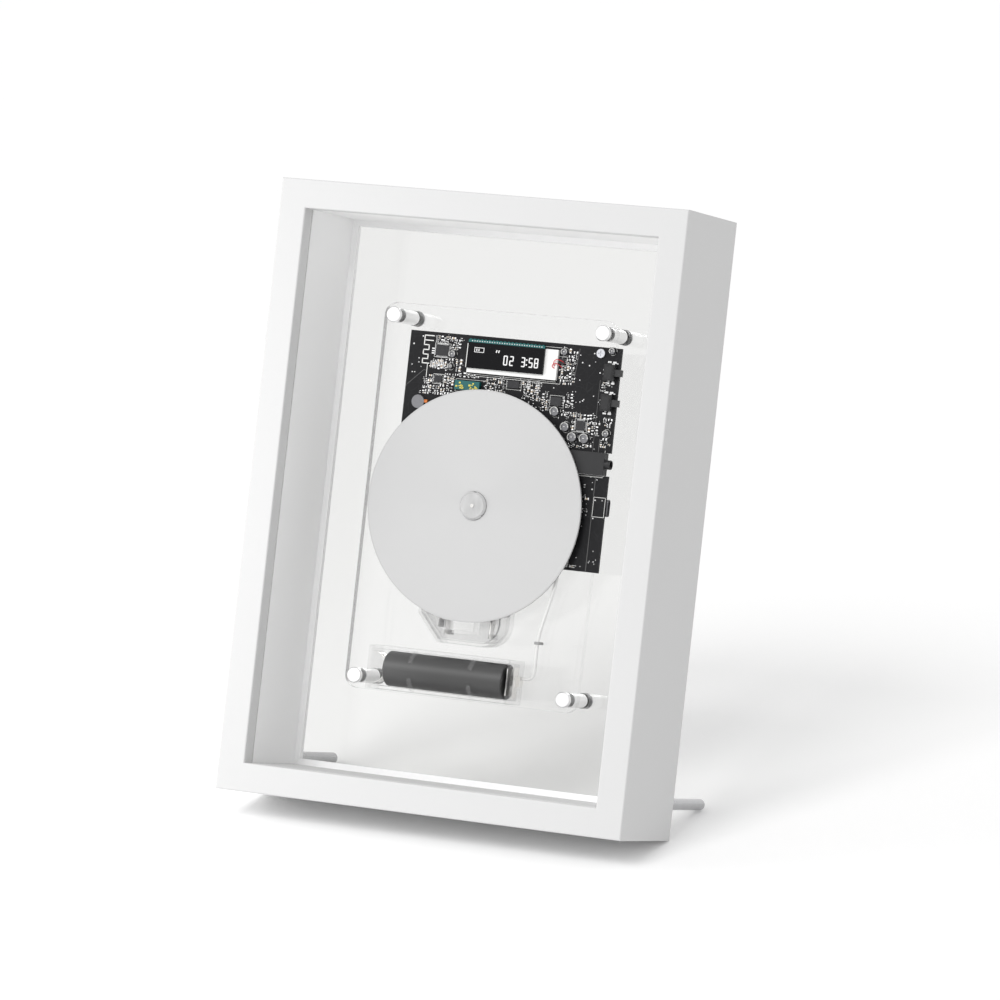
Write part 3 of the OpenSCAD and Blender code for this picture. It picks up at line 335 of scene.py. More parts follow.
def pane(name, tint, edge=(0.8, 0.8, 0.8), left_edge_shade=(0.2, 0.2, 0.21)):
    """A flat clear plate: its faces mirror a little, and of its cut edges the left one has painted shade
    that makes it dark.
    """
    look = Recipe(name)
    normal = look.add("NewGeometry", out=1)
    across = look.add(
        "VectorMath", {"operation": "DOT_PRODUCT"},
        {0: normal, 1: (0.0, math.cos(LEAN), -math.sin(LEAN))}, out=1,
    )
    cut = 1.0 - abs(across).rise(0.8, 0.95)
    left = (look.axes()[0] * -1.0).rise(*(side * MM for side in PLATE_SIDE))
    smears = look.cloud(0.02, 4.0, stretch=(1.0, 1.0, 0.5))
    # Painted shade: the cut edges at the left take a dark colour.
    look.colour(look.blend(cut, (1.0, 1.0, 1.0), look.blend(left, edge, left_edge_shade)))
    look.feed(look.shader.inputs["Metallic"], 1.0 - cut)
    look.rough(0.01 + 0.02 * smears.rise(0.5, 0.75) + 0.25 * cut)
    look.film(look.mirror().most(cut * (0.1 + 0.5 * left)), tint)
    return look.material


def shell(name, tint, rim, haze=0.04, body=(0.9, 0.9, 0.9)):
    """Thin clear moulding: it mirrors a little, has painted shade that greys it where it turns away, and
    has a faint haze.
    """
    look = Recipe(name, Specular_IOR_Level=0.5)
    turned = look.slant() ** 3.0
    flow = look.cloud(0.006, 3.0, stretch=(1.0, 1.0, 0.3))
    # Painted shade: the colour greys towards rim where the surface turns away.
    look.colour(look.blend(turned, look.blend(flow, shade(body, 0.96), body), rim))
    look.rough(0.12 + 0.1 * flow)
    look.film(look.mirror().most(haze * (0.7 + 0.6 * flow)).most(turned * 0.4), tint)
    return look.material


def solder_mask(name, colour):
    """Black solder mask: copper shows through as faint tracks and flooded areas."""
    look = Recipe(name, Specular_IOR_Level=0.12)
    upright = look.upright()
    lane = look.add("TexVoronoi", {"feature": "DISTANCE_TO_EDGE"}, {"Vector": upright, "Scale": 0.22})
    copper = look.add(
        "TexBrick", {"offset": 0.5, "squash": 1.0},
        {"Vector": upright, "Scale": 0.35, "Mortar Size": 0.02}, out=1,
    )
    track = (1.0 - lane.rise(0.0, 0.03)) * 0.6
    tint = look.blend(track, colour, shade(colour, 2.2))
    look.colour(look.blend(copper * 0.25, tint, shade(colour, 1.7)))
    weave = look.cloud(0.0007, 2.0)
    look.rough(0.34 + 0.14 * weave)
    look.relief(track + 0.15 * weave, 0.00002, 0.5)
    return look.material


def display_panel(name, colour):
    """The display's glass: a near-black polariser with a faint grid of cells."""
    look = Recipe(name, Specular_IOR_Level=0.15)
    x, _, z = look.axes(look.upright())
    rows = (z * 14.0).wave() * 0.5 + 0.5
    columns = (x * 14.0).wave() * 0.5 + 0.5
    look.colour(look.blend(rows * columns, colour, shade(colour, 1.5)))
    look.rough(0.08 + 0.06 * look.cloud(0.004, 3.0))
    return look.material


def glowing(name, colour, strength):
    """A lit display element whose glow varies a little in faint patches."""
    look = Recipe(name, Emission_Strength=strength, Roughness=0.5)
    spot = look.cloud(0.0016, 2.0)
    light = look.blend(spot, shade(colour, 0.93), colour)
    look.colour((0.02, 0.02, 0.02))
    look.feed(look.shader.inputs["Emission Color"], light)
    return look.material


def printed_disc(name, colour, rim):
    """A white printed disc: fine screen grain, a painted reflection as soft grey wedges round its hole,
    and a bare grey ring at its edge and its hole.
    """
    look = Recipe(name, Coat_Weight=0.25, Coat_Roughness=0.12, Specular_IOR_Level=0.4)
    x, _, z = look.axes(look.upright())
    from_hub = z - SPINDLE_Z
    radius = (x * x + from_hub * from_hub) ** 0.5
    edge = radius.rise(59.0, 59.4) + 0.35 * (1.0 - radius.rise(8.0, 8.3))
    angle = x.sum("ARCTAN2", from_hub, x)
    # Painted reflection: soft grey wedges by angle round the hole, fixed on the disc.
    sheen_wedges = ((angle * 3.0).wave() * 0.5 + 0.5) * ((angle * 2.0 + 1.3).wave() * 0.5 + 0.5)
    screen = look.cloud(0.0004, 2.0)
    white = look.blend(sheen_wedges, colour, shade(colour, 0.97))
    white = look.blend(screen * 0.12, white, shade(colour, 0.93))
    look.colour(look.blend(edge, white, rim))
    look.rough(0.42 + 0.1 * screen)
    look.relief(screen, 0.000006, 0.2)
    return look.material


def shrink_sleeve(name, colour):
    """The cell's heat-shrink sleeve: pull lines, painted shade that darkens it to the right, and darkest
    in a band at that end.
    """
    look = Recipe(name, Specular_IOR_Level=0.55)
    x = look.axes(look.upright())[0]
    band = x.rise(30.6, 31.0)
    pull = look.cloud(0.0009, 3.0, stretch=(0.08, 1.0, 1.0))
    tone = look.blend(pull, shade(colour, 0.9), shade(colour, 1.12))
    # Painted shade: the sleeve's colour darkens towards the right.
    shaded_rightward = look.blend(x.rise(-36.0, -2.0), tone, shade(colour, 0.7))
    look.colour(look.blend(band, shaded_rightward, shade(colour, 0.25)))
    look.rough(0.36 + 0.12 * pull)
    look.relief(pull, 0.00003, 0.3)
    return look.material


def chip_case(name, colour):
    """Moulded chip epoxy: patchy black with a dull grain."""
    look = Recipe(name, Specular_IOR_Level=0.25)
    fine = look.cloud(0.00025, 4.0)
    patches = look.cloud(0.002, 2.0)
    tone = look.blend(patches, shade(colour, 0.8), shade(colour, 1.3))
    look.colour(look.blend(fine * 0.3, tone, shade(colour, 2.0)))
    look.rough(0.55 + 0.2 * fine)
    look.relief(fine, 0.00002, 0.4)
    return look.material


def can_top(name, colour):
    """Drawn aluminium: bright, turned marks and a dull film."""
    look = Recipe(name, Metallic=0.85)
    marks = look.cloud(0.0003, 3.0)
    film = look.cloud(0.0015, 3.0)
    look.colour(look.blend(film, shade(colour, 0.8), colour))
    look.rough(0.3 + 0.15 * marks)
    look.relief(marks, 0.00001, 0.3)
    return look.material


def rubber(name, colour):
    """Matt rubber with a dusty bloom."""
    look = Recipe(name, Specular_IOR_Level=0.3)
    bloom = look.cloud(0.0012, 4.0)
    look.colour(look.blend(bloom, colour, shade(colour, 1.8)))
    look.rough(0.6 + 0.25 * bloom)
    look.relief(bloom, 0.00003, 0.5)
    return look.material


def ribbon_film(name, colour):
    """Amber polyimide ribbon with its tracks showing."""
    look = Recipe(name, Coat_Weight=0.4, Coat_Roughness=0.15)
    x = look.axes(look.upright())[0]
    tracks = ((x * 9.0).wave() * 0.5 + 0.5).rise(0.45, 0.6)
    look.colour(look.blend(tracks, colour, shade(colour, 0.55)))
    look.rough(0.32 + 0.1 * look.cloud(0.001, 3.0))
    look.relief(tracks, 0.00003, 0.5)
    return look.material


def lead_skin(name, colour):
    """Soft wire insulation with faint extrusion lines."""
    look = Recipe(name)
    lines = look.cloud(0.0006, 3.0, stretch=(1.0, 1.0, 0.15))
    look.colour(look.blend(lines, shade(colour, 0.93), colour))
    look.rough(0.45 + 0.12 * lines)
    look.relief(lines, 0.00002, 0.4)
    return look.material


def lens_coating(name, colour):
    """The pickup's lens, with a violet bloom that deepens to its rim."""
    look = Recipe(name, Coat_Weight=1.0, Coat_Roughness=0.02, Specular_IOR_Level=0.8)
    look.colour(look.blend(look.slant(0.4), colour, (0.25, 0.1, 0.4)))
    look.rough(0.06 + 0.05 * look.cloud(0.001, 2.0))
    return look.material


def floor_sheet(name, colour, glow):
    """White paper floor. Sight, gloss and glass rays see its glow as well, and its shadows stay."""
    look = Recipe(name, Roughness=0.9, Specular_IOR_Level=0.0)
    fibre = look.cloud(0.004, 3.0)
    look.colour(look.blend(fibre, shade(colour, 0.995), shade(colour, 1.005)))
    light = look.add("Emission", {}, {"Color": (1.0, 1.0, 1.0), "Strength": glow})
    plain = Wire(look, look.shader.outputs[0])
    lit = look.add("AddShader", {}, {0: plain, 1: light})
    seen = look.ray(*SEEN_RAYS)
    both = look.add("MixShader", {}, {0: seen, 1: plain, 2: lit})
    look.feed(look.output.inputs["Surface"], both)
    return look.material


FINISH = {}


def finish(name):
    """The material of this name, made the first time that it is asked for."""
    if name not in FINISH:
        case = bpy.context.scene.disc_player_case
        board = bpy.context.scene.disc_player_board
        drive = bpy.context.scene.disc_player_drive
        display = bpy.context.scene.disc_player_display
        makers = {
            "white_lacquer": lambda n: painted(n, tuple(case.paint), case.paint_rough),
            "white_board": lambda n: card(n, tuple(case.liner)),
            "key_plastic": lambda n: moulded(n, (0.45, 0.45, 0.44)),
            "clear_panel": lambda n: pane(n, (0.922, 0.922, 0.917)),
            "clear_plate": lambda n: pane(n, grey(0.995)),
            "satin_alloy": lambda n: metal(n, grey(0.93), 0.3, grain=0.0006),
            "clear_shell": lambda n: shell(n, grey(0.975), grey(0.5)),
            "milky_shell": lambda n: shell(n, grey(0.98), grey(0.72), 0.16),
            "hub_shell": lambda n: shell(n, grey(0.98), grey(0.5), 0.72, grey(0.68)),
            "pale_rubber": lambda n: rubber(n, grey(0.7)),
            "black_rubber": lambda n: rubber(n, (0.012, 0.012, 0.013)),
            "dark_metal": lambda n: metal(n, (0.8, 0.8, 0.81), 0.35),
            "bright_steel": lambda n: metal(n, (0.5, 0.5, 0.51), 0.22, (1.0, 0.05, 1.0)),
            "zinc_steel": lambda n: metal(n, (0.62, 0.63, 0.66), 0.34, grain=0.0012),
            "brass": lambda n: metal(n, (0.75, 0.55, 0.25), 0.3),
            "black_board": lambda n: solder_mask(n, tuple(board.mask)),
            "white_plastic": lambda n: moulded(n, (0.86, 0.86, 0.85), 0.5),
            "display_glass": lambda n: display_panel(n, (0.004, 0.004, 0.005)),
            "teal_strip": lambda n: moulded(n, (0.0, 0.1, 0.1), 0.35),
            "chip_black": lambda n: chip_case(n, (0.03, 0.03, 0.032)),
            "can_metal": lambda n: can_top(n, (0.2, 0.2, 0.21)),
            "socket_black": lambda n: moulded(n, (0.022, 0.022, 0.023), 0.5, Specular_IOR_Level=0.3),
            "button_grey": lambda n: moulded(n, (0.035, 0.035, 0.036), 0.45, Specular_IOR_Level=0.3),
            "cell_sleeve": lambda n: shrink_sleeve(n, grey(0.062)),
            "contact_nickel": lambda n: metal(n, (0.86, 0.85, 0.83), 0.22),
            "lead_white": lambda n: lead_skin(n, (0.76, 0.76, 0.75)),
            "clip_grey": lambda n: moulded(n, grey(0.3), 0.5),
            "disc_white": lambda n: printed_disc(n, tuple(drive.disc), grey(0.5)),
            "sled_black": lambda n: moulded(n, (0.025, 0.025, 0.028), 0.4, Specular_IOR_Level=0.35),
            "lens_glass": lambda n: lens_coating(n, (0.05, 0.04, 0.09)),
            "ribbon_amber": lambda n: ribbon_film(n, (0.55, 0.24, 0.05)),
            "print_white": lambda n: moulded(n, (0.82, 0.82, 0.8), 0.6, 0.0002),
            "solder": lambda n: metal(n, grey(0.8), 0.3, grain=0.0002),
            "chip_tan": lambda n: moulded(n, (0.42, 0.34, 0.25), 0.5, 0.0002),
            "chip_dark": lambda n: chip_case(n, (0.02, 0.02, 0.022)),
            "gold": lambda n: moulded(n, (0.72, 0.62, 0.1), 0.4, 0.0002),
            "wire_red": lambda n: lead_skin(n, (0.6, 0.02, 0.03)),
            "amber_part": lambda n: moulded(n, (0.7, 0.2, 0.03), 0.4, 0.0003),
            "faint_line": lambda n: moulded(n, grey(0.07), 0.5, 0.0003),
            "glow": lambda n: glowing(n, grey(1.0), display.glow),
        }
        FINISH[name] = makers[name](name)
    return FINISH[name]


# ---------------------------------------------------------------- modelling


def deselect():
    if bpy.context.mode != "OBJECT":
        bpy.ops.object.mode_set(mode="OBJECT")
    bpy.ops.object.select_all(action="DESELECT")


def only(obj):
    """Selects this object alone and makes it the active one."""
    deselect()
    obj.select_set(True)
    bpy.context.view_layer.objects.active = obj
    return obj


def start(kind, centre, extent, turn=(0.0, 0.0, 0.0), **how):
    """Adds a primitive one unit across at its extent and place."""
    deselect()
    getattr(bpy.ops.mesh, f"primitive_{kind}_add")(location=centre, rotation=turn, **how)
    obj = bpy.context.object
    obj.scale = extent
    bpy.ops.object.transform_apply(location=True, rotation=True, scale=True)
    return obj


def block(centre, size):
    return start("cube", centre, size, size=1.0)


def rod(radius, length, sides):
    """A round bar that runs along the depth axis."""
    return start(
        "cylinder", (0, 0, 0), (radius, radius, length), (QUARTER, 0.0, 0.0),
        radius=1.0, depth=1.0, vertices=sides,
    )


def pick(obj, wanted, kind="FACE"):
    """Opens the object in edit mode with only the wanted faces or edges selected."""
    only(obj)
    bpy.ops.object.mode_set(mode="EDIT")
    bpy.ops.mesh.select_mode(type=kind)
    bpy.ops.mesh.select_all(action="DESELECT")
    mesh = bmesh.from_edit_mesh(obj.data)
    for part in mesh.faces if kind == "FACE" else mesh.edges:
        if wanted(part):
            part.select_set(True)
    bmesh.update_edit_mesh(obj.data)


def facing(way, share=0.9):
    """A test for faces that look a given way."""
    way = Vector(way)
    return lambda face: face.normal.dot(way) > share


def recess(obj, way, rim, depth):
    """Insets the faces that look one way and sinks or raises them."""
    pick(obj, facing(way))
    bpy.ops.mesh.inset(thickness=rim)
    bpy.ops.mesh.extrude_region_move(
        TRANSFORM_OT_translate={"value": tuple(part * depth for part in way)}
    )
    bpy.ops.object.mode_set(mode="OBJECT")
    return obj


def soften(obj, width, rounds=2):
    """Rounds the sharp edges."""
    only(obj)
    bevel = obj.modifiers.new("bevel", "BEVEL")
    bevel.width = width
    bevel.segments = rounds
    bevel.limit_method = "ANGLE"
    bevel.angle_limit = EDGE_ANGLE
    bevel.use_clamp_overlap = True
    bpy.ops.object.modifier_apply(modifier=bevel.name)
    return obj


def pebble(round_off, rounds=1):
    """A unit block with softened edges, from which the small parts are copied."""
    return soften(block((0, 0, 0), (1, 1, 1)), round_off, rounds)


def join(parts):
    """Makes one object of several."""
    deselect()
    for part in parts:
        part.select_set(True)
    bpy.context.view_layer.objects.active = parts[0]
    bpy.ops.object.join()
    return parts[0]


def repeat(model, places):
    """Copies the model to each place, each copy with its own mesh, and joins the copies.
    A place is a centre, a turn about the depth axis and a size for each axis."""
    whole = bmesh.new()
    for centre, turn, size in places:
        copy = model.data.copy()
        copy.transform(
            Matrix.Translation(centre)
            @ Matrix.Rotation(turn, 4, "Y")
            @ Matrix.Diagonal((*size, 1.0))
        )
        whole.from_mesh(copy)
        bpy.data.meshes.remove(copy)
    whole.to_mesh(model.data)
    whole.free()
    return model


def settle(obj, name, slot, body, look=None):
    """Finishes a piece: lays it into the row, mends its normals, and gives it its finish and body."""
    only(obj)
    bpy.ops.object.mode_set(mode="EDIT")
    bpy.ops.mesh.select_all(action="SELECT")
    bpy.ops.mesh.normals_make_consistent(inside=False)
    bpy.ops.object.mode_set(mode="OBJECT")
    bpy.ops.object.shade_smooth_by_angle(angle=SMOOTH_ANGLE)
    obj.data.transform(LEAN_BACK)
    obj.name = name
    obj.data.name = name
    obj.data.materials.clear()
    obj.data.materials.append(finish(look or slot))
    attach(obj, body)
    obj.select_set(False)
    return obj


def dress(look, *nodes):
    """Gives CAD nodes a finish."""
    for name in nodes:
        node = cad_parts[name]
        if node.material_slots:
            for place in node.material_slots:
                place.material = finish(look)
        else:
            node.data.materials.append(finish(look))


def print_bar(x0, z0, x1, z1, width, face=BOARD_FACE, thick=PRINT_THICK):
    """The place of one straight bar of print or track between two points."""
    run = math.hypot(x1 - x0, z1 - z0) + width
    turn = -math.atan2(z1 - z0, x1 - x0)
    centre = ((x0 + x1) / 2, face - thick / 2, (z0 + z1) / 2)
    return centre, turn, (run, thick, width)


def print_path(points, width, **how):
    """Bars along a run of points."""
    return [print_bar(*a, *b, width, **how) for a, b in zip(points, points[1:])]


def print_frame(x, z, wide, high, width, **how):
    """The four bars of an outline."""
    left, right, low, top = x - wide / 2, x + wide / 2, z - high / 2, z + high / 2
    return print_path(
        [(left, low), (right, low), (right, top), (left, top), (left, low)], width, **how
    )


def print_ring(x, z, radius, width, sides=20, sweep=1.0, **how):
    """Bars round a circle, or round a share of it."""
    steps = max(3, round(sides * sweep))
    turns = [2 * math.pi * sweep * i / steps for i in range(steps + 1)]
    return print_path(
        [(x + radius * math.cos(a), z + radius * math.sin(a)) for a in turns], width, **how
    )


def bar_model():
    """A bar with its four front edges eased, as ink or etched copper has."""
    obj = block((0, 0, 0), (1, 1, 1))
    pick(obj, facing((0, -1, 0)))
    bpy.ops.mesh.inset(thickness=0.08)
    bpy.ops.object.mode_set(mode="OBJECT")
    return obj


def lay(bars, name, slot, look):
    """One piece made of bars."""
    settle(repeat(bar_model(), bars), name, slot, "frame", look)


# ---------------------------------------------------------------- settings


class CaseSettings(bpy.types.PropertyGroup):
    paint: FloatVectorProperty(
        name="Paint", description="Colour of the case's paint", subtype="COLOR",
        default=(0.65, 0.65, 0.65), min=0.0, max=1.0,
    )
    paint_rough: FloatProperty(
        name="Paint roughness", description="How dull the paint is",
        default=0.4, min=0.05, max=1.0, subtype="FACTOR",
    )
    liner: FloatVectorProperty(
        name="Liner", description="Colour of the boards inside the case", subtype="COLOR",
        default=(0.96, 0.96, 0.96), min=0.0, max=1.0,
    )


class BoardSettings(bpy.types.PropertyGroup):
    mask: FloatVectorProperty(
        name="Solder mask", description="Colour of the circuit board", subtype="COLOR",
        default=(0.012, 0.012, 0.013), min=0.0, max=1.0,
    )
    crowding: FloatProperty(
        name="Crowding", description="How close together the small parts sit",
        default=0.85, min=0.2, max=2.0, subtype="FACTOR",
    )
    vias: IntProperty(
        name="Vias", description="How many plated holes the board has", default=260, min=0, max=800,
    )


class DisplaySettings(bpy.types.PropertyGroup):
    glow: FloatProperty(
        name="Glow", description="Strength of the lit figures", default=1.0, min=0.0, max=5.0,
    )
    stroke: FloatProperty(
        name="Stroke", description="Width of a figure's bars", default=0.0006,
        min=0.0003, max=0.0012, subtype="DISTANCE", unit="LENGTH",
    )


class DriveSettings(bpy.types.PropertyGroup):
    disc: FloatVectorProperty(
        name="Disc", description="Colour of the disc's printed face", subtype="COLOR",
        default=(0.54, 0.54, 0.54), min=0.0, max=1.0,
    )


class StageSettings(bpy.types.PropertyGroup):
    floor: FloatVectorProperty(
        name="Floor", description="Colour of the floor", subtype="COLOR",
        default=(0.98, 0.98, 0.98), min=0.0, max=1.0,
    )
    floor_glow: FloatProperty(
        name="Floor glow", description="Light that sight, gloss and glass rays see on the floor",
        default=0.1, min=0.0, max=1.0,
    )
    sky: FloatProperty(
        name="Sky", description="Strength of the light from all round", default=0.66, min=0.0, max=2.0,
    )
    sun: FloatProperty(
        name="Sun", description="Strength of the soft lamp in front", default=1.25, min=0.0, max=10.0,
    )
    fill: FloatProperty(
        name="Fill", description="Power of the near lamp at the left", default=1.5, min=0.0,
        max=50.0, subtype="POWER", unit="POWER",
    )


# ---------------------------------------------------------------- stage


class DISCPLAYER_OT_stage(bpy.types.Operator):
    """Sets the camera, the white floor, the lamps and the light from all round"""

    bl_idname = "disc_player.stage"
    bl_label = "Stage"

    camera_place = (1.166985, -2.518756, 0.818504)
    camera_turn = (76.764054, -0.009009, 24.598237)
    camera_lens = 199.6363
    floor_width = 14.0
    floor_drop = 0.0002
    sun_place = (-2.0, -1.0, 3.0)
    sun_way = (0.15, 0.95, -0.85)
    sun_spread = math.radians(22)
    fill_place = (-0.55, -0.35, 0.27)
    fill_way = (0.55, 0.35, -0.11)
    fill_width = 0.45

    def lamp(self, kind, place, way, energy):
        """Adds a lamp that shines one way."""
        bpy.ops.object.light_add(type=kind, location=place)
        lamp = bpy.context.object
        lamp.rotation_mode = "QUATERNION"
        lamp.rotation_quaternion = Vector(way).to_track_quat("-Z", "Y")
        lamp.data.energy = energy
        return lamp.data

    def execute(self, context):
        settings = context.scene.disc_player_stage
        deselect()
        bpy.ops.object.camera_add(
            location=self.camera_place,
            rotation=tuple(math.radians(turn) for turn in self.camera_turn),
        )
        camera = context.object
        camera.data.sensor_width = 36.0
        camera.data.lens = self.camera_lens
        camera.data.clip_start = 0.1
        camera.data.clip_end = 60.0
        context.scene.camera = camera

        floor = start(
            "grid", (0, 0, 0), (self.floor_width, self.floor_width, 1), size=1.0,
            x_subdivisions=8, y_subdivisions=8,
        )
        floor.location = (0, 0, CAD_BOX[0].z - self.floor_drop)
        floor.name = "floor"
        floor.data.materials.append(
            floor_sheet("floor", tuple(settings.floor), settings.floor_glow)
        )

        sun = self.lamp("SUN", self.sun_place, self.sun_way, settings.sun)
        sun.angle = self.sun_spread
        fill = self.lamp("AREA", self.fill_place, self.fill_way, settings.fill)
        fill.shape = "SQUARE"
        fill.size = self.fill_width

        context.scene.view_settings.view_transform = "Standard"
        world = bpy.data.worlds.new("surround")
        context.scene.world = world
        world.use_nodes = True
        light = Tree(world.node_tree)
        background = light.tree.nodes["Background"]
        level = settings.sky + (1.0 - settings.sky) * light.ray(*SEEN_RAYS)
        light.feed(background.inputs["Strength"], level)
        light.feed(background.inputs["Color"], (1.0, 1.0, 1.0))
        return {"FINISHED"}


# ---------------------------------------------------------------- pieces


class DISCPLAYER_OT_case(bpy.types.Operator):
    """Finishes the case, its liner, the fixings at its back and its stand pegs"""

    bl_idname = "disc_player.case"
    bl_label = "Case"

    def execute(self, context):
        dress("white_lacquer", "rail_top", "rail_bottom", "rail_left", "rail_right")
        dress("white_board", "liner_boards", "panel_ledge")
        dress("key_plastic", "corner_keys")
        dress("zinc_steel", "panel_tabs", "tab_screws", "wall_hangers", "hanger_screws",
              "board_screws", "holder_screws", "drive_screws")
        dress("bright_steel", "stand_pegs")
        dress("brass", "peg_bushes")
        dress("black_rubber", "wall_bumpers")
        return {"FINISHED"}


class DISCPLAYER_OT_clear_parts(bpy.types.Operator):
    """Finishes the clear panel, the carrier plate and the standoffs between them"""

    bl_idname = "disc_player.clear_parts"
    bl_label = "Clear parts"

    def execute(self, context):
        dress("clear_panel", "back_panel")
        dress("clear_plate", "carrier_plate")
        dress("satin_alloy", "standoff_barrels", "standoff_caps", "standoff_screws")
        dress("black_rubber", "standoff_rings")
        dress("dark_metal", "standoff_washers")
        return {"FINISHED"}


class DISCPLAYER_OT_board(bpy.types.Operator):
    """Finishes the circuit board and the parts that the source gives it"""

    bl_idname = "disc_player.board"
    bl_label = "Circuit board"

    def execute(self, context):
        dress("black_board", "main_board")
        dress("white_plastic", "board_spacers", "display_guide", "lead_socket")
        dress("display_glass", "display_glass")
        dress("teal_strip", "display_pins", "radio_module")
        dress("chip_black", "chips")
        dress("can_metal", "capacitors", "shield_can", "charge_socket")
        dress("socket_black", "headphone_socket", "switch_bodies")
        dress("button_grey", "power_button", "play_button")
        return {"FINISHED"}


class DISCPLAYER_OT_drive(bpy.types.Operator):
    """Finishes the disc, its drive and the pickup"""

    bl_idname = "disc_player.drive"
    bl_label = "Disc drive"

    def execute(self, context):
        dress("clear_shell", "drive_housing", "drive_deck")
        dress("milky_shell", "chassis")
        dress("hub_shell", "turntable")
        dress("pale_rubber", "dampers")
        dress("contact_nickel", "spindle_motor", "feed_motor")
        dress("bright_steel", "chuck_balls")
        dress("contact_nickel", "spindle_shaft", "guide_rods", "lead_screw")
        dress("disc_white", "disc")
        dress("sled_black", "pickup_sled", "lens_holder")
        dress("lens_glass", "lens")
        dress("ribbon_amber", "pickup_ribbon")
        return {"FINISHED"}


class DISCPLAYER_OT_power(bpy.types.Operator):
    """Finishes the cell, its holder, the contacts and the lead"""

    bl_idname = "disc_player.power"
    bl_label = "Battery"

    def execute(self, context):
        dress("clear_shell", "battery_holder")
        dress("cell_sleeve", "battery_cell")
        dress("contact_nickel", "cell_contacts")
        dress("lead_white", "battery_lead")
        dress("clip_grey", "lead_clip")
        return {"FINISHED"}


SEGMENTS = {"0": "abcdef", "2": "abdeg", "3": "abcdg", "5": "acdfg", "8": "abcdefg"}


class DISCPLAYER_OT_figures(bpy.types.Operator):
    """Lights the display: a track number, a time, a battery sign and a mode sign"""

    bl_idname = "disc_player.figures"
    bl_label = "Display figures"

    low, high, wide = 232.9, 238.0, 2.35
    places = (("0", 7.0), ("2", 10.4), ("3", 16.9), ("5", 21.2), ("8", 24.3))
    colon_x, colon_rows, colon_dot = 20.05, (234.2, 236.7), 0.75
    sign_z = 239.6
    mode_dots = (2.6, 3.9)

    def digit(self, figure, left, stroke):
        """The bars of one seven-bar figure."""
        x0, x1 = left + stroke / 2, left + self.wide - stroke / 2
        z0, z1 = self.low + stroke / 2, self.high - stroke / 2
        middle = (z0 + z1) / 2
        runs = {
            "a": (x0, z1, x1, z1), "b": (x1, z1, x1, middle), "c": (x1, middle, x1, z0),
            "d": (x0, z0, x1, z0), "e": (x0, middle, x0, z0), "f": (x0, z1, x0, middle),
            "g": (x0, middle, x1, middle),
        }
        trim = stroke * 0.5
        bars = []
        for key in SEGMENTS[figure]:
            ax, az, bx, bz = runs[key]
            run = math.hypot(bx - ax, bz - az)
            ux, uz = (bx - ax) / run * trim, (bz - az) / run * trim
            bars.append(
                print_bar(ax + ux, az + uz, bx - ux, bz - uz, stroke, face=GLASS_FACE, thick=LIT_THICK)
            )
        return bars

    def execute(self, context):
        stroke = context.scene.disc_player_display.stroke / MM
        flat = {"face": GLASS_FACE, "thick": LIT_THICK}
        bars = []
        for figure, left in self.places:
            bars += self.digit(figure, left, stroke)
        for z in self.colon_rows:
            bars.append(
                print_bar(self.colon_x, z - 0.02, self.colon_x, z + 0.02, self.colon_dot, **flat)
            )
        bars += print_frame(-7.1, self.sign_z, 5.2, 2.3, 0.3, **flat)
        bars += [
            print_bar(x, self.sign_z - 0.4, x, self.sign_z + 0.4, 0.5, **flat) for x in (-8.5, -7.3)
        ]
        bars += [
            print_bar(x, self.sign_z - 0.3, x + 0.2, self.sign_z + 0.4, 0.62, **flat)
            for x in self.mode_dots
        ]
        lay(bars, "display_figures", "display_glass", "glow")
        return {"FINISHED"}


class DISCPLAYER_OT_print(bpy.types.Operator):
    """Prints the board: outlines round the parts, rings, the aerial and faint tracks"""

    bl_idname = "disc_player.print"
    bl_label = "Board print"

    aerial = (
        (-34.9, 244.9), (-40.0, 244.9), (-40.0, 240.0), (-37.1, 240.0), (-37.1, 237.5),
        (-40.1, 237.5), (-40.1, 235.1), (-37.2, 235.1), (-37.2, 232.8), (-40.1, 232.8),
        (-40.1, 230.5), (-36.3, 230.5),
    )
    # Outlines round the larger parts: centre, width, height and line width.
    outlines = (
        (-11.0, 220.8, 17.6, 6.4, 0.16),
        (50.3, 136.2, 7.0, 5.4, 0.2),
        (12.0, 235.4, 53.0, 18.6, 0.18),
        (67.4, 165.4, 6.4, 10.0, 0.2),
    )
    # Lines of ink and lines under the mask: their points and line width.
    lines = (
        ([(49.2, 180.7), (67.6, 180.7)], 0.4),
        ([(67.6, 180.7), (67.6, 194.4)], 0.2),
        ([(-15.8, 227.0), (36.0, 227.0)], 0.16),
    )
    tracks = (
        ([(-48.0, 218.2), (-38.8, 226.9), (-37.2, 226.9)], 0.3),
        ([(47.6, 245.0), (46.2, 230.0)], 0.3),
        ([(63.9, 200.0), (63.9, 132.2)], 0.4),
        ([(60.6, 230.0), (60.6, 188.0), (64.0, 184.0)], 0.25),
    )

    def execute(self, context):
        ink = []
        for x, z, wide, high in CHIPS:
            ink += print_frame(x, z, wide + 1.9, high + 1.6, 0.16)
        for x, z, radius in CAPACITORS:
            ink += print_ring(x, z, radius + 0.55, 0.2, 22, 0.9)
        for x, z, wide, high, width in self.outlines:
            ink += print_frame(x, z, wide, high, width)
        for points, width in self.lines:
            ink += print_path(points, width)
        lay(ink, "board_print", "white_plastic", "print_white")

        tin = print_path(self.aerial, 0.5)
        tin += print_path([(-39.9, 242.4), (-35.1, 242.4)], 0.5)
        tin += print_path([(-37.0, 230.5), (-37.0, 223.4)], 0.32)
        lay(tin, "aerial_track", "white_plastic", "print_white")

        faint = []
        for points, width in self.tracks:
            faint += print_path(points, width)
        lay(faint, "faint_tracks", "black_board", "faint_line")
        return {"FINISHED"}


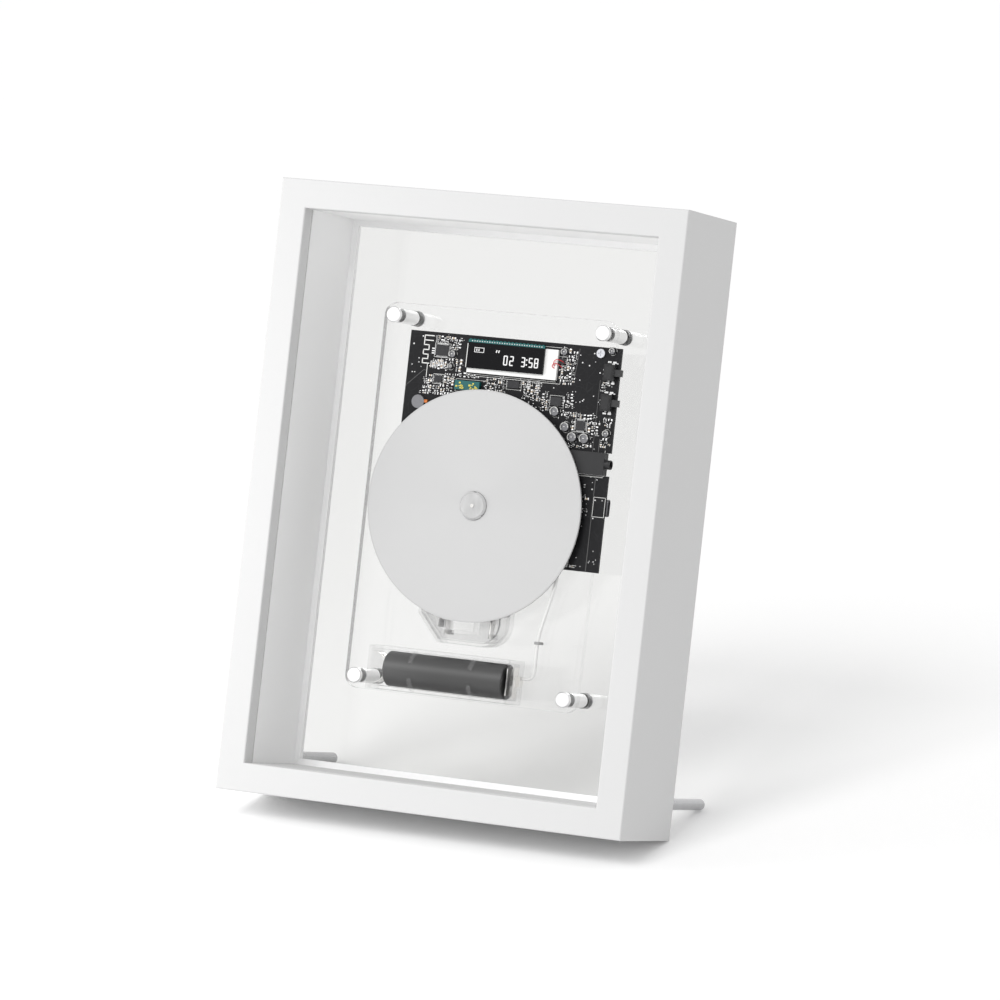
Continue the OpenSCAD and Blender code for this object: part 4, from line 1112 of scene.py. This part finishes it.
# Where the board's small parts crowd: low x, high x, low z, high z and how many.
CROWDS = (
    (-33.6, -25.4, 241.4, 245.4, 15), (-25.2, -18.6, 238.8, 245.2, 16),
    (-27.2, -16.8, 227.6, 234.2, 14), (-35.8, -26.6, 228.0, 233.0, 16),
    (-38.6, -33.0, 214.6, 225.4, 20), (-33.0, -20.6, 214.6, 220.4, 22),
    (-26.6, -20.6, 220.4, 226.4, 12), (-20.6, -4.4, 225.2, 226.6, 8),
    (-3.4, 8.8, 217.0, 226.2, 30), (17.2, 28.6, 216.0, 226.0, 34),
    (28.6, 34.0, 211.6, 221.6, 16), (42.0, 47.4, 214.4, 221.6, 10),
    (36.6, 46.8, 226.0, 235.6, 22), (41.6, 46.8, 235.8, 244.6, 13),
    (41.0, 60.0, 209.4, 212.4, 22), (56.0, 63.2, 201.4, 209.0, 14),
    (41.2, 60.4, 194.0, 196.6, 16), (46.4, 49.6, 201.0, 209.0, 8),
    (64.4, 70.0, 195.2, 200.8, 7), (64.4, 70.0, 206.0, 211.0, 6),
    (61.6, 65.0, 224.0, 230.0, 6), (49.0, 54.0, 170.0, 179.0, 10),
    (-30.0, 30.0, 190.0, 214.0, 60), (56.0, 62.0, 150.0, 178.0, 7),
    (50.0, 58.0, 133.4, 134.6, 3), (-40.0, -35.6, 214.0, 216.0, 3),
)
KEEP_OUT = (
    (-14.4, 37.4, 227.2, 245.8), (-20.0, -4.8, 217.8, 223.8), (-43.6, -35.4, 206.2, 214.4),
    (62.6, 70.8, 229.4, 239.2), (62.6, 70.8, 213.9, 223.7), (47.9, 70.8, 180.4, 194.2),
    (63.6, 70.8, 160.2, 170.6), (56.9, 62.5, 240.9, 246.5), (35.7, 41.3, 134.1, 139.7),
    (-44.0, -38.4, 134.1, 139.7), (-22.8, -17.2, 197.2, 202.8), (46.4, 52.4, 132.0, 139.6),
    (-41.0, -34.4, 229.8, 246.0), (-37.8, -36.2, 223.0, 231.0),
)


PART_LENGTHS = (1.1, 1.5, 2.0)
PART_SLIM = 0.55
PART_GAP = 0.16


def around(x, z, half_wide, half_high):
    """A rectangle on the board: low x, high x, low z, high z."""
    return x - half_wide, x + half_wide, z - half_high, z + half_high


def meet(first, second):
    """Whether two rectangles on the board overlap."""
    return (
        first[0] < second[1] and second[0] < first[1]
        and first[2] < second[3] and second[2] < first[3]
    )


def board_places(crowding):
    """Places for the small parts: centre, whether it stands upright, and its length."""
    draw = random.Random(SEED)
    taken = list(KEEP_OUT)
    for x, z, wide, high in CHIPS:
        taken.append(around(x, z, wide / 2 + 0.9, high / 2 + 0.8))
    for x, z, radius in CAPACITORS:
        taken.append(around(x, z, radius + 0.3, radius + 0.3))
    found = []
    for x0, x1, z0, z1, count in CROWDS:
        made = 0
        for _ in range(count * 30):
            if made >= count * crowding:
                break
            tall = draw.random() < 0.5
            length = draw.choice(PART_LENGTHS)
            wide, high = (length * PART_SLIM, length) if tall else (length, length * PART_SLIM)
            x = draw.uniform(x0 + wide / 2, x1 - wide / 2)
            z = draw.uniform(z0 + high / 2, max(z0 + high / 2, z1 - high / 2))
            spot = around(x, z, wide / 2 + PART_GAP, high / 2 + PART_GAP)
            if any(meet(spot, other) for other in taken):
                continue
            taken.append(spot)
            found.append((x, z, tall, length))
            made += 1
    return found, taken


class DISCPLAYER_OT_small_parts(bpy.types.Operator):
    """Solders the small resistors and capacitors to the board, with pads, ticks and vias"""

    bl_idname = "disc_player.small_parts"
    bl_label = "Small parts"

    low_part, part_spread = 0.34, 0.12
    tan_share = 0.3
    pad_thick = 0.06
    tick_width = 0.13
    via_sizes = (0.22, 0.3, 0.38)

    def tick(self, x, z, draw):
        """One short tick of ink beside a part."""
        tx = x + draw.uniform(-1.0, 1.0)
        tz = z + draw.uniform(-1.0, 1.0)
        if draw.random() < 0.5:
            return print_bar(tx, tz, tx + draw.uniform(0.25, 0.6), tz, self.tick_width)
        return print_bar(tx, tz, tx, tz + draw.uniform(0.3, 0.6), self.tick_width)

    def via_spot(self, x, z, draw):
        size = draw.choice(self.via_sizes)
        return (x, BOARD_FACE, z), 0.0, (size, 1.0, size)

    def execute(self, context):
        settings = context.scene.disc_player_board
        places, taken = board_places(settings.crowding)
        draw = random.Random(SEED + 1)
        bodies = {"chip_tan": [], "chip_dark": []}
        ends, ticks = [], []
        for x, z, tall, length in places:
            turn = QUARTER if tall else 0.0
            wide = length * 0.52
            high = self.low_part + self.part_spread * draw.random()
            kind = "chip_tan" if draw.random() < self.tan_share else "chip_dark"
            bodies[kind].append(
                ((x, BOARD_FACE - high / 2, z), turn, (length * 0.62, high, wide * 0.94))
            )
            for side in (-1, 1):
                reach = side * length * 0.38
                foot = side * length * 0.46
                end = (x, z + reach) if tall else (x + reach, z)
                pad = (x, z + foot) if tall else (x + foot, z)
                ends.append(
                    ((end[0], BOARD_FACE - high * 0.52, end[1]), turn, (length * 0.27, high * 1.04, wide))
                )
                ends.append(
                    (
                        (pad[0], BOARD_FACE - self.pad_thick / 2, pad[1]),
                        turn,
                        (length * 0.3, self.pad_thick, wide * 1.1),
                    )
                )
            for _ in range(draw.choice((1, 2, 2, 3))):
                ticks.append(self.tick(x, z, draw))
        for kind, spots in bodies.items():
            model = pebble(0.07)
            settle(repeat(model, spots), f"{kind}_bodies", "chip_black", "frame", kind)
        model = pebble(0.12)
        settle(repeat(model, ends), "soldered_ends", "can_metal", "frame", "solder")
        on_board = [
            t for t in ticks
            if -47.6 < t[0][0] < 70.2 and (t[0][2] > 187.8 or t[0][0] > 30.6) and t[0][2] < 246.4
        ]
        lay(on_board, "print_ticks", "white_plastic", "print_white")

        dots = []
        for _ in range(settings.vias):
            x, z = draw.uniform(-46.5, 69.5), draw.uniform(189.0, 245.5)
            if any(t[0] < x < t[1] and t[2] < z < t[3] for t in taken):
                continue
            dots.append(self.via_spot(x, z, draw))
        for _ in range(settings.vias // 4):
            x, z = draw.uniform(31.5, 69.5), draw.uniform(133.5, 186.0)
            dots.append(self.via_spot(x, z, draw))
        via = rod(1.0, 0.04, 10)
        recess(via, (0, -1, 0), 0.45, -0.015)
        settle(repeat(via, dots), "vias", "can_metal", "frame", "solder")
        return {"FINISHED"}


class DISCPLAYER_OT_chip_legs(bpy.types.Operator):
    """Adds the bent legs of the chips, bare contact pads and the switches' plates"""

    bl_idname = "disc_player.chip_legs"
    bl_label = "Chip legs"

    fine_pitch, pitch = 0.5, 0.8
    fine_chips = (0, 2)
    four_sided = (0, 2, 4)
    corner_room = 0.6
    leg_wide, leg_thick = 0.24, 0.1

    # Rows of bare pads: the first one's start in x and z, its run and rise, the step
    # to the next in x and z, how many there are, their width and their thickness.
    pad_rows = (
        (20.65, 222.6, 1.5, 0.0, 0.0, 0.9, 5, 0.34, 0.12),
        (25.65, 220.8, 1.5, 0.0, 0.0, 0.9, 7, 0.34, 0.12),
        (-35.0, 228.9, 0.0, 2.9, 1.0, 0.0, 9, 0.42, 0.12),
        (-34.9, 236.0, 0.8, 0.0, 0.0, 1.2, 3, 0.6, 0.16),
        (64.4, 228.9, 1.0, 0.0, 2.8, 0.0, 2, 0.9, 0.3),
        (64.4, 239.7, 1.0, 0.0, 2.8, 0.0, 2, 0.9, 0.3),
        (64.4, 213.4, 1.0, 0.0, 2.8, 0.0, 2, 0.9, 0.3),
        (64.4, 224.2, 1.0, 0.0, 2.8, 0.0, 2, 0.9, 0.3),
        (48.1, 131.4, 0.0, 1.0, 2.9, 0.0, 2, 0.7, 0.3),
    )
    # Bits of solder round a switch, from its middle: across, up and length.
    switch_bits = (
        (-3.4, 4.0, 0.9), (-3.7, -3.6, 1.2), (0.6, 4.6, 1.0), (1.4, -4.6, 0.8), (-4.1, 1.2, 0.5),
        (-4.0, -0.9, 0.4), (-0.9, -4.3, 0.5), (-1.4, 5.2, 0.4), (3.0, 4.9, 0.5),
    )

    def leg_model(self):
        """A leg that leaves the chip, steps down and lands on its pad. It runs along +x."""
        foot = block((0.75, -0.05, 0), (0.5, self.leg_thick, self.leg_wide))
        shin = block((0.46, -0.22, 0), (0.1, 0.4, self.leg_wide))
        knee = block((0.22, -0.4, 0), (0.5, self.leg_thick, self.leg_wide))
        return soften(join([foot, shin, knee]), 0.03, 1)

    def leg_row(self, length, pitch):
        """Places of the legs along a chip's side, from its middle."""
        count = int((length - self.corner_room) / pitch)
        return [(i - count / 2) * pitch for i in range(count + 1)]

    def leg_places(self):
        legs = []
        for index, (x, z, wide, high) in enumerate(CHIPS):
            pitch = self.fine_pitch if index in self.fine_chips else self.pitch
            for side in (-1, 1):
                turn = 0.0 if side > 0 else math.pi
                for step in self.leg_row(high, pitch):
                    legs.append(((x + side * wide / 2, BOARD_FACE, z + step), turn, WHOLE))
                if index in self.four_sided:
                    for step in self.leg_row(wide, pitch):
                        place = (x + step, BOARD_FACE, z + side * high / 2)
                        legs.append((place, -side * QUARTER, WHOLE))
        return legs

    def pad_bars(self):
        """Bare pads in rows, in a grid under one chip, and as bits of solder round the switches."""
        bars = []
        for x0, z0, run, rise, step_x, step_z, count, width, thick in self.pad_rows:
            for i in range(count):
                x, z = x0 + i * step_x, z0 + i * step_z
                bars.append(print_bar(x, z, x + run, z + rise, width, thick=thick))
        for i in range(5):
            for j in range(4):
                x, z = 34.4 + i * 1.75, 215.4 + j * 1.3
                if abs(x - 37.8) > 3.4 or abs(z - 217.1) > 2.6:
                    bars.append(print_bar(x - 0.3, z, x + 0.3, z, 0.5, thick=0.1))
        for row in SWITCH_ROWS:
            for across, up, run in self.switch_bits:
                x, z = SWITCH_X + across, row + up
                bars.append(print_bar(x, z, x + run, z, 0.5, thick=0.3))
        return bars

    def execute(self, context):
        settle(repeat(self.leg_model(), self.leg_places()), "chip_legs", "can_metal", "frame", "solder")
        lay(self.pad_bars(), "contact_pads", "can_metal", "solder")

        plates = []
        for z in SWITCH_ROWS:
            plate = block((65.9, 32.95, z), (5.4, 0.2, 7.6))
            recess(plate, (0, -1, 0), 0.5, 0.0)
            recess(plate, (0, -1, 0), 0.3, 0.12)
            plates.append(soften(plate, 0.06, 1))
        settle(join(plates), "switch_plates", "socket_black", "frame")
        return {"FINISHED"}


class DISCPLAYER_OT_capacitor_tops(bpy.types.Operator):
    """Adds the capacitors' dark bases and the bright rims and marks of their tops"""

    bl_idname = "disc_player.capacitor_tops"
    bl_label = "Capacitor tops"

    base_thick, base_margin = 0.5, 0.25
    corner_cut = 0.45
    rim_thick, rim_wide, rim_inset, rim_sweep = 0.1, 0.42, 0.25, 0.62

    def base(self, x, z, radius):
        """A square base whose two right corners are cut off."""
        wide = 2 * (radius + self.base_margin)
        base = block((x, BOARD_FACE - self.base_thick / 2, z), (wide, self.base_thick, wide))
        pick(
            base,
            lambda edge: abs(edge.verts[0].co.y - edge.verts[1].co.y) > 0.3
            and edge.verts[0].co.x > x,
            "EDGE",
        )
        bpy.ops.mesh.bevel(offset=radius * self.corner_cut, segments=1)
        bpy.ops.object.mode_set(mode="OBJECT")
        return base

    def execute(self, context):
        bases = [self.base(x, z, radius) for x, z, radius in CAPACITORS]
        settle(join(bases), "capacitor_bases", "chip_black", "frame", "chip_dark")
        top = {"face": CAPACITOR_FACE, "thick": self.rim_thick}
        rims = []
        for x, z, radius in CAPACITORS:
            rims += print_ring(
                x, z, radius - self.rim_inset, self.rim_wide, 24, self.rim_sweep, **top
            )
            rims.append(print_bar(x - 0.3, z, x + 0.3, z, 0.3, **top))
        lay(rims, "capacitor_rims", "can_metal", "print_white")
        return {"FINISHED"}


class DISCPLAYER_OT_display_trim(bpy.types.Operator):
    """Adds the display's solder dots, its bright left edge and its two red wires"""

    bl_idname = "disc_player.display_trim"
    bl_label = "Display trim"

    dot_count, dot_pitch, dot_start = 29, 1.4, (-11.4, 33.05, 244.1)
    wire_radius = 0.2
    # Each wire's run, from the light guide over to the board.
    wires = (
        (
            (35.4, 34.2, 235.0), (34.9, 33.7, 236.6), (36.4, 33.4, 238.4), (38.8, 34.2, 238.0),
            (40.2, 36.2, 236.9),
        ),
        (
            (35.4, 34.2, 233.8), (34.2, 33.8, 234.8), (35.4, 33.5, 236.2), (37.4, 34.4, 236.0),
            (38.8, 36.2, 234.6),
        ),
    )

    def wire(self, points):
        """A thin wire through a run of points."""
        deselect()
        bpy.ops.curve.primitive_bezier_curve_add()
        obj = bpy.context.object
        spline = obj.data.splines[0]
        spline.bezier_points.add(len(points) - len(spline.bezier_points))
        for point, place in zip(spline.bezier_points, points):
            point.co = place
            point.handle_left_type = point.handle_right_type = "AUTO"
        obj.data.bevel_depth = self.wire_radius
        obj.data.bevel_resolution = 3
        obj.data.use_fill_caps = True
        only(obj)
        bpy.ops.object.convert(target="MESH")
        return bpy.context.object

    def execute(self, context):
        x, y, z = self.dot_start
        dots = [
            ((x + i * self.dot_pitch, y, z), 0.0, (0.3, 1.0, 0.34)) for i in range(self.dot_count)
        ]
        dot = soften(rod(1.0, 0.3, 10), 0.1, 1)
        settle(repeat(dot, dots), "display_solder", "can_metal", "frame", "solder")
        edge = soften(block((-13.85, 33.9, 236.4), (0.5, 1.4, 12.4)), 0.1, 1)
        settle(edge, "display_edge", "white_plastic", "frame", "print_white")
        wires = [self.wire(points) for points in self.wires]
        settle(join(wires), "display_wires", "lead_white", "frame", "wire_red")
        return {"FINISHED"}


class DISCPLAYER_OT_module_parts(bpy.types.Operator):
    """Gives the radio module its two clusters of gold pads, and adds the inductor beside the can"""

    bl_idname = "disc_player.module_parts"
    bl_label = "Module parts"

    # Clusters of pads: middle x, how far they spread and how many.
    clusters = ((-16.4, 2.2, 9), (-8.8, 2.6, 11))
    cluster_z, pad_thick = 220.6, 0.2

    def execute(self, context):
        draw = random.Random(SEED + 2)
        gold = []
        for middle, spread, count in self.clusters:
            for _ in range(count):
                x = middle + draw.uniform(-spread, spread)
                z = self.cluster_z + draw.uniform(-1.4, 1.6)
                size = draw.uniform(0.6, 1.3)
                place = (x, MODULE_FACE - self.pad_thick / 2, z)
                gold.append((place, 0.0, (size, self.pad_thick, size * 0.8)))
        settle(repeat(pebble(0.1), gold), "module_pads", "teal_strip", "frame", "gold")
        sensor = recess(block((-35.1, 35.6, 210.8), (1.7, 1.6, 1.6)), (0, -1, 0), 0.3, -0.3)
        settle(soften(sensor, 0.1, 2), "amber_inductor", "ribbon_amber", "frame", "amber_part")
        return {"FINISHED"}


class DISCPLAYER_PT_panel(bpy.types.Panel):
    """Lists the disc player's steps and settings"""

    bl_idname = "DISCPLAYER_PT_panel"
    bl_label = "Disc player"
    bl_space_type = "VIEW_3D"
    bl_region_type = "UI"
    bl_category = "Disc player"

    def draw(self, context):
        for key in SETTINGS:
            box = self.layout.box()
            group = getattr(context.scene, key)
            for prop in group.bl_rna.properties:
                if prop.identifier not in ("rna_type", "name"):
                    box.prop(group, prop.identifier)
        for step in STEPS:
            self.layout.operator(step.bl_idname)


SETTINGS = {
    "disc_player_case": CaseSettings,
    "disc_player_board": BoardSettings,
    "disc_player_display": DisplaySettings,
    "disc_player_drive": DriveSettings,
    "disc_player_stage": StageSettings,
}
STEPS = (
    DISCPLAYER_OT_stage,
    DISCPLAYER_OT_case,
    DISCPLAYER_OT_clear_parts,
    DISCPLAYER_OT_board,
    DISCPLAYER_OT_drive,
    DISCPLAYER_OT_power,
    DISCPLAYER_OT_figures,
    DISCPLAYER_OT_print,
    DISCPLAYER_OT_small_parts,
    DISCPLAYER_OT_chip_legs,
    DISCPLAYER_OT_capacitor_tops,
    DISCPLAYER_OT_display_trim,
    DISCPLAYER_OT_module_parts,
)


def register():
    for group in SETTINGS.values():
        bpy.utils.register_class(group)
    for step in STEPS:
        bpy.utils.register_class(step)
    bpy.utils.register_class(DISCPLAYER_PT_panel)
    for key, group in SETTINGS.items():
        setattr(bpy.types.Scene, key, PointerProperty(type=group))


def unregister():
    for key in SETTINGS:
        delattr(bpy.types.Scene, key)
    bpy.utils.unregister_class(DISCPLAYER_PT_panel)
    for step in reversed(STEPS):
        bpy.utils.unregister_class(step)
    for group in reversed(list(SETTINGS.values())):
        bpy.utils.unregister_class(group)


def main():
    register()
    for step in STEPS:
        area, name = step.bl_idname.split(".")
        getattr(getattr(bpy.ops, area), name)()


if __name__ == "__main__":
    main()
